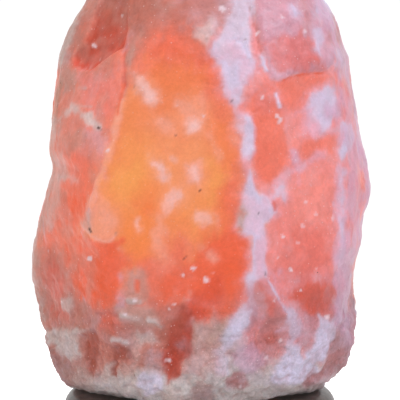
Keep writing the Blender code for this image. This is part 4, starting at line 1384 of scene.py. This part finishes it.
    def skin(self, lump: Thing, points: np.ndarray) -> Skin:
        """Reads where each vertex lies, how the front shows it, and how the salt's grain shifts and frays it.

        The salt frays least where it turns away, so that no edge is drawn out into a streak. The marks of
        the front end there too, with a ragged change.

        Args:
            lump: the object.
            points: its vertices in mm.

        Returns:
            What the lift and the paint need to know.
        """
        self.write_points(lump, points)
        flat = np.empty(len(points) * 3)
        lump.data.vertices.foreach_get("normal", flat)
        normals = flat.reshape(-1, 3)
        spots = VIEW.pixels_of(points)
        skin = Skin(points, normals, points[:, 2] - self.saw_cut_mm, np.ones(len(points)), spots,
                    np.zeros_like(spots), np.zeros(len(points)))
        facing = normals @ VIEW.backward
        for size, pull in self.warps:
            for axis, shift in enumerate((3.1, 41.7)):
                skin.warp[:, axis] += pull * skin.noise(size, shift)
        for size, shift, pull in self.frays:
            skin.fray += pull * skin.noise(size, shift)
        seen = smooth_step(facing, 0.1, 0.6)
        skin.warp *= (0.5 + 0.5 * seen)[:, None]
        skin.fray *= 0.3 + 0.7 * seen
        ragged = 0.5 * skin.noise((13.0, 13.0, 18.0), 33.0) + 0.25 * skin.noise(4.5, 44.0)
        turning = smooth_step(facing + ragged * (1 - smooth_step(facing, 0.0, 0.3)), -0.14, 0.02)
        patches = smooth_step(skin.noise((16.0, 16.0, 22.0), 65.0) + 0.4 * skin.noise(6.0, 66.0), -0.05, 0.15)
        grown = 0.7 * smooth_step(normals[:, 0], 0.88, 0.99) * patches
        skin.front = turning * (1 - smooth_step(points[:, 1], *self.front_ends_mm)) * (1 - grown)
        return skin

    def lift(self, skin: Skin) -> tuple[np.ndarray, np.ndarray]:
        """Works out how far each point moves along its normal.

        Args:
            skin: what is known of each vertex.

        Returns:
            The lift in mm, and how deep the point lies in the crumbled relief, from -1 (dip) to 1 (top).
        """
        total = np.zeros(len(skin.points))
        for mark in MARKS:
            if mark.lift_mm:
                chosen, cover = mark.coverage(skin.spots, skin.warp * 0.6, skin.fray * 0.5)
                total[chosen] += mark.lift_mm * cover * skin.front[chosen]
        for across, down, radius in GLINTING_CRYSTALS:
            away = np.hypot(skin.spots[:, 0] - across, skin.spots[:, 1] - down)
            total += self.crystal_mm * (1 - smooth_step(away, radius * 0.4, radius * 1.3)) * skin.front
        foot = 1 - smooth_step(skin.height, *self.crumbled_mm)
        for size, shift, firm, loose in self.reliefs:
            total += (firm + loose * foot) * skin.noise(size, shift)
        # Crumbled salt breaks into flat lumps with sharp dips between them
        lumps = np.abs(skin.noise((11.0, 11.0, 6.0), 31.0)) + 0.6 * np.abs(skin.noise(4.2, 11.0))
        crumble = np.minimum(lumps, 0.42) - 0.3
        firm, loose = self.crumble_mm
        total += (firm + loose * foot) * crumble
        return total * self.outside_share(skin.points), np.clip(crumble * 5, -1.0, 1.0)

    def kept_inside(self, points: np.ndarray, solid: Thing) -> np.ndarray:
        """Holds the points in the solid's own box, so that the look never outgrows the part."""
        low, high = (np.array(corner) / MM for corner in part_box(solid.name))
        return np.clip(points, low, high)

    def paint(self, lump: Thing, skin: Skin, crumble: np.ndarray) -> None:
        """Writes each point's tone, glow and crumbling into the mesh.

        Args:
            lump: the object.
            skin: what is known of each vertex.
            crumble: how deep each vertex lies in the crumbled relief.
        """
        salt = self.geology(skin)
        for mark in MARKS:
            for layer in (mark.fringe(), mark):
                if layer:
                    chosen, cover = layer.coverage(skin.spots, skin.warp, skin.fray)
                    salt.lay(layer.tone, cover * layer.amount * skin.front[chosen], chosen)
        self.shade(skin, salt, crumble)
        # White crystals with their painted highlight, and dark mineral specks, laid on the front
        for group, tone, strength, ragged, full_radius in (
            (GLINTING_CRYSTALS, Tone.CRYSTAL, 0.7, 0.3, 1.5), (SPECKS, Tone.UMBER, 1.0, 0.12, 1.0),
        ):
            for across, down, radius in group:
                away = np.hypot(*(skin.spots + skin.warp * 0.4 - (across, down)).T)
                chosen = np.flatnonzero(away < radius + 2.5)
                cover = 1 - smooth_step(away[chosen] + skin.fray[chosen] * ragged, radius * 0.2, radius + 0.5)
                salt.lay(tone, cover * strength * min(1.0, radius / full_radius) * skin.front[chosen], chosen)
        # Painted light: the bore's wall is painted amber, mostly as glow, for the bulb shining on it
        salt.lay(Tone.AMBER, 1.0 * self.in_bore(skin.points))
        foot = 1 - smooth_step(skin.height + 6 * skin.noise(14.0, 3.0), *self.foot_mm)
        full = np.ones((len(foot), 1))
        self.write(lump, "tone", "FLOAT_COLOR", "color", np.hstack([salt.rows[:, :3], full]))
        self.write(lump, "state", "FLOAT_VECTOR", "vector", np.hstack([salt.rows[:, 3:], foot[:, None]]))

    def shade(self, skin: Skin, salt: Salt, crumble: np.ndarray) -> None:
        """Frosts the flanks and paints a rim light on them, paints shade into the dips of the foot, and lets
        the light fall off towards it as painted shade.

        Args:
            skin: what is known of each vertex.
            salt: the salt, changed in place.
            crumble: how deep each vertex lies in the crumbled relief.
        """
        # Painted rim light: flanks that turn sideways are painted paler, lilac pink on the right under the
        # cool key lamp and grey pink on the left under the warm fill lamp
        uneven = 0.5 * skin.noise((16.0, 16.0, 24.0), 51.0) + 0.25 * skin.noise(5.0, 17.0)
        turned = smooth_step(np.abs(skin.normals[:, 0]) + uneven, 0.75, 1.0) * skin.front
        salt.lay(Tone.LILAC_PINK, turned * 0.7 * (skin.points[:, 0] > 0))
        salt.lay(Tone.GREY_PINK, turned * 0.3 * (skin.points[:, 0] < 0))
        wavy = skin.height + 6 * skin.noise(14.0, 3.0)
        foot = 1 - smooth_step(wavy, *self.foot_mm)
        # Painted shade: brown red darkens the dips of the crumbled foot, where less light reaches
        salt.grow(Tone.BROWN_RED, -crumble, 0.25, 1.0, foot * 0.2)
        clouds = skin.noise((12.0, 12.0, 8.0), 88.0) + 0.5 * skin.noise(4.0, 12.0) + 0.04 * skin.fray
        salt.grow(Tone.LILAC_GREY, clouds, 0.05, 0.6, foot * 0.2)
        # Painted shade: the salt darkens towards the foot, where the studio light falls off, and less so
        # where the bulb's glow shows
        dusk = 1 - smooth_step(wavy, *self.dusk_mm)
        salt.rows[:, :3] *= (1 - self.painted_foot_shade * dusk * (1.15 - 0.7 * salt.rows[:, 3]))[:, None]

    def write(self, lump: Thing, name: str, kind: str, field: str, values: np.ndarray) -> None:
        """Stores one value a vertex under a name that the material reads."""
        layer = lump.data.attributes.new(name=name, type=kind, domain="POINT")
        layer.data.foreach_set(field, values.astype(np.float32).ravel())

    def geology(self, skin: Skin) -> Salt:
        """Grows the salt's bands, veins and crust all round the lump, as natural noise.

        Args:
            skin: what is known of each vertex.

        Returns:
            The salt.
        """
        salt = Salt(skin)
        height = skin.height
        mid = skin.noise((13.0, 13.0, 20.0), 9.0)
        fine = skin.noise(5.0, 13.0)

        # The salt's own reds, with orange and amber painted round the bulb, most of it as glow for the bulb's
        # light
        salt.grow(Tone.CORAL, skin.noise((30.0, 30.0, 46.0), 5.0) + 0.5 * mid + 0.22 * fine, -0.1, 0.2, 0.9)
        near_bulb = np.exp(-(((height - self.bulb_height_mm) / self.bulb_reach_mm) ** 2))
        warm = near_bulb * smooth_step(skin.noise(34.0, 61.0) + 0.3 * mid, -0.22, 0.22)
        salt.lay(Tone.ORANGE, warm * 0.95)
        salt.grow(Tone.AMBER, near_bulb + 0.4 * mid, 0.75, 1.05, warm * 0.8)
        salt.grow(Tone.RED_ORANGE, skin.noise(16.0, 23.0) + 0.25 * fine, 0.1, 0.34, 0.8)
        salt.grow(Tone.DEEP_RED, skin.noise((12.0, 12.0, 22.0), 71.0) + 0.2 * fine, 0.24, 0.42, 0.7)
        salt.grow(Tone.DUSKY_PINK, skin.noise(22.0, 83.0) - 0.004 * (height - 70), 0.12, 0.36, 0.8)
        salt.grow(Tone.BLUSH, skin.noise(8.0, 37.0), 0.26, 0.42, 0.75)

        # Milky clouds and the veins between the blocks
        clouds = skin.noise((18.0, 18.0, 30.0), 47.0) + 0.35 * mid + 0.25 * fine
        salt.grow(Tone.PALE_PINK, clouds, 0.16, 0.34, 0.8)
        salt.grow(Tone.LAVENDER, clouds, 0.30, 0.46, 0.9)
        veins = np.abs(skin.noise((26.0, 26.0, 60.0), 97.0) + 0.16 * mid + 0.06 * fine)
        swell = np.maximum(0.004, 0.035 + 0.14 * skin.noise(21.0, 29.0) + 0.05 * fine)
        salt.grow(Tone.PALE_PINK, veins, 2.4 * swell, 0.4 * swell, 0.7)
        salt.grow(Tone.LAVENDER, veins, 1.2 * swell, 0.2 * swell, 0.9)

        # The crumbled foot and the duller crown
        salt.grow(Tone.DUSKY_ROSE, height + 20 * mid, 52.0, 26.0, 0.75)
        foot = smooth_step(height + 22 * mid + 12 * fine, 34.0, 10.0)
        salt.lay(Tone.MILK, foot * 0.9)
        salt.grow(Tone.BROWN_RED, skin.noise((8.0, 8.0, 14.0), 53.0) + 0.3 * fine, 0.02, 0.4, foot * 0.7)
        salt.grow(Tone.DUSKY_PINK, height + 14 * mid, 140.0, 178.0, 0.6)
        return salt


@dataclass
class TurnedBase:
    """The wooden base: a turned disc with a rounded rim, its cord groove and its counterbored screw holes."""

    node: str = "wood_base"
    slot: str = "dark_wood"
    radius_mm: float = 54.5
    bottom_mm: float = 3.3
    top_mm: float = 25.3
    hole_radius_mm: float = 25.0
    top_round_mm: float = 7.0
    low_round_mm: float = 2.0
    groove_mm: Pair = (8.0, 8.0)
    screw_circle_mm: float = 34.0
    screw_angles: tuple[int, ...] = (30, 150, 270)
    counterbore_mm: Pair = (5.0, 7.0)
    steps: int = 144

    def build(self) -> Thing:
        """Turns, grooves and drills the base, and dresses it.

        Returns:
            The base.
        """
        blank = self.turned()
        for cutter in (self.groove(), *self.screw_holes()):
            cut = blank.modifiers.new("Cut", "BOOLEAN")
            cut.object = cutter
            cut.operation = "DIFFERENCE"
        graph = bpy.context.evaluated_depsgraph_get()
        mesh = bpy.data.meshes.new_from_object(blank.evaluated_get(graph))
        for helper in [blank, *[cut.object for cut in blank.modifiers]]:
            bpy.data.objects.remove(helper, do_unlink=True)
        base = placed("turned_base", mesh)
        mesh.materials.clear()
        wear(base, TurnedHardwood().material())
        mesh.polygons.foreach_set("use_smooth", np.ones(len(mesh.polygons), bool))
        mesh.set_sharp_from_angle(angle=math.radians(32))
        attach(base, "root")
        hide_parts(self.node)
        return base

    def profile(self) -> list[Pair]:
        """The outline as (radius, height) in mm, from the inner top edge over the rim to the bottom."""
        hole, top, bottom = self.hole_radius_mm, self.top_mm, self.bottom_mm
        outline = [(hole + 0.6, top)]
        for radius, height, arc in (
            (self.top_round_mm, top - self.top_round_mm, range(90, -1, -9)),
            (self.low_round_mm, bottom + self.low_round_mm, range(0, -91, -15)),
        ):
            for angle in map(math.radians, arc):
                outline.append((self.radius_mm - radius + radius * math.cos(angle),
                                height + radius * math.sin(angle)))
        return [*outline, (hole + 0.5, bottom), (hole, bottom + 0.5), (hole, top - 0.6)]

    def turned(self) -> Thing:
        """Spins the outline into a ring."""
        shape = bmesh.new()
        rows = []
        for step in range(self.steps):
            turn = 2 * math.pi * step / self.steps
            rows.append([shape.verts.new(Vector((r * math.cos(turn), r * math.sin(turn), z)) * MM)
                         for r, z in self.profile()])
        for here, there in zip(rows, rows[1:] + rows[:1]):
            for (a, b), (c, d) in zip(zip(here, here[1:] + here[:1]), zip(there, there[1:] + there[:1])):
                shape.faces.new((a, b, d, c))
        bmesh.ops.recalc_face_normals(shape, faces=shape.faces)
        return placed_shape("base_blank", shape)

    def groove(self) -> Thing:
        """The cutter for the cord's groove, at the back."""
        width, depth = self.groove_mm
        start, end = self.hole_radius_mm - 2, self.radius_mm + 2
        shape = bmesh.new()
        bmesh.ops.create_cube(shape, size=1.0)
        bmesh.ops.scale(shape, verts=shape.verts, vec=Vector((width, end - start, 2 * depth)) * MM)
        bmesh.ops.translate(shape, verts=shape.verts, vec=Vector((0, (start + end) / 2, self.bottom_mm)) * MM)
        return placed_shape("groove_cutter", shape)

    def screw_holes(self) -> list[Thing]:
        """The cutters for the screws' counterbores."""
        radius, depth = self.counterbore_mm
        cutters = []
        for degrees in self.screw_angles:
            turn = math.radians(degrees)
            reach = self.screw_circle_mm
            at = Vector((reach * math.cos(turn), reach * math.sin(turn), self.bottom_mm))
            shape = bmesh.new()
            bmesh.ops.create_cone(shape, cap_ends=True, segments=48, radius1=radius * MM, radius2=radius * MM,
                                  depth=2 * depth * MM, matrix=Matrix.Translation(at * MM))
            cutters.append(placed_shape(f"counterbore_{degrees}", shape))
        return cutters


@dataclass
class LampFitting:
    """The holder, bulb, clip, screws and pads: CAD shapes that stay, each with its own finish."""

    nodes: dict[str, Thing]

    def dress(self) -> list[str]:
        """Gives each node its material.

        Returns:
            The names of the dressed nodes.
        """
        finishes = {
            "lamp_holder": MOULDED_ABS, "bulb_glass": BLOWN_GLASS, "bulb_cap": NICKELLED_BRASS,
            "holder_spring": ROLLED_STEEL, "base_screw": ZINC_PLATE, "foot": MOULDED_RUBBER,
        }
        dressed = []
        for start, finish in finishes.items():
            material = finish.material()
            for name, node in self.nodes.items():
                if name.startswith(start):
                    wear(node, material)
                    dressed.append(name)
        return dressed


@dataclass
class Studio:
    """A white-tent product studio: pale floor, soft lamps and a long lens from the photograph's side."""

    table_radius_mm: float = 400.0
    table_glow: float = 0.8
    underlight_mm: Pair = (75.0, 112.0)
    room_light: Pair = (0.14, 0.46)
    backdrop_degrees: Pair = (55.0, 14.0)
    backdrop_light: float = 1.04

    def build(self) -> None:
        """Sets up floor, light and camera."""
        self.floor()
        self.surroundings()
        self.lamp("key_right", (0.45, -0.50, 0.75), 0.35, 4.6, "#F2EEFF")
        self.lamp("fill_left", (-0.65, -0.40, 0.55), 0.6, 2.2, "#FFF4EC")
        self.lamp("top", (0.0, -0.05, 0.85), 0.7, 1.2, "#FFFFFF")
        self.camera()
        bpy.context.scene.view_settings.view_transform = "Standard"

    def floor(self) -> None:
        """A round table of white acrylic, which glows at its back as its underlight falls off forwards."""
        shape = bmesh.new()
        bmesh.ops.create_circle(shape, cap_ends=True, segments=96, radius=self.table_radius_mm * MM)
        top = placed_shape("table_top", shape)
        material = CAST_ACRYLIC.material()
        tree = material.node_tree
        parts = add_node(tree, "SeparateXYZ", links={0: add_node(tree, "TexCoord").outputs["Object"]})
        start, end = (edge * MM for edge in self.underlight_mm)
        light = remapped(tree, parts.outputs["Y"], (start, end), (0.0, self.table_glow), "SMOOTHSTEP")
        feed(tree, tree.nodes["Principled BSDF"],
             {"Emission Color": (1.0, 1.0, 1.0, 1.0), "Emission Strength": light})
        wear(top, material)

    def surroundings(self) -> None:
        """A grey room, lighter above, with a white backdrop behind the lamp."""
        world = bpy.data.worlds.new("grey_room_white_backdrop")
        bpy.context.scene.world = world
        world.use_nodes = True
        tree = world.node_tree
        way = add_node(tree, "TexCoord").outputs["Generated"]
        parts = add_node(tree, "SeparateXYZ", links={0: way})
        room = remapped(tree, parts.outputs["Z"], (-0.6, 0.9), self.room_light)
        towards = add_node(tree, "VectorMath", {"operation": "DOT_PRODUCT", 1: Vector(-VIEW.backward)},
                           {0: way})
        outer, inner = (math.cos(math.radians(angle)) for angle in self.backdrop_degrees)
        backdrop = remapped(tree, towards.outputs["Value"], (outer, inner), (0.0, 1.0), "SMOOTHSTEP")
        bright = add_node(tree, "Mix", {"data_type": "FLOAT", 3: self.backdrop_light}, {0: backdrop, 2: room})
        feed(tree, tree.nodes["Background"], {"Color": (1.0, 1.0, 1.0, 1.0), "Strength": bright.outputs[0]})

    def lamp(self, name: str, at: Spot, size: float, power: float, colour: str) -> None:
        """Hangs one square soft lamp that faces the salt.

        Args:
            name: the lamp's name.
            at: where it hangs, in metres.
            size: the side of its square, in metres.
            power: its power in watts.
            colour: the colour of its light.
        """
        data = bpy.data.lights.new(name, "AREA")
        data.size = size
        data.energy = power
        data.color = linear(colour)
        lamp = placed(name, data)
        lamp.location = at
        aim = Vector((0.0, 0.0, VIEW.middle_height_mm)) * MM - Vector(at)
        lamp.rotation_euler = aim.to_track_quat("-Z", "Y").to_euler()

    def camera(self) -> None:
        """Sets the camera at the photograph's viewing angle and framing."""
        data = bpy.data.cameras.new("camera")
        data.sensor_width = 36.0
        data.lens = data.sensor_width * VIEW.distance_mm / VIEW.field_mm
        camera = placed("camera", data)
        camera.location = Vector(VIEW.lens_place) * MM
        camera.rotation_euler = Vector(-VIEW.backward).to_track_quat("-Z", "Y").to_euler()
        bpy.context.scene.camera = camera


def main() -> None:
    """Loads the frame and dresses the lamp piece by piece."""
    logging.basicConfig(level=logging.INFO, format="%(name)s: %(message)s")
    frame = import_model()
    lump = SaltLump().build(frame["nodes"]["salt_lump"])
    LOG.info("lump: %d vertices, %d faces", len(lump.data.vertices), len(lump.data.polygons))
    base = TurnedBase().build()
    LOG.info("base: %d faces", len(base.data.polygons))
    LOG.info("dressed: %s", ", ".join(LampFitting(frame["nodes"]).dress()))
    Studio().build()
    LOG.info("studio ready")


if __name__ == "__main__":
    main()
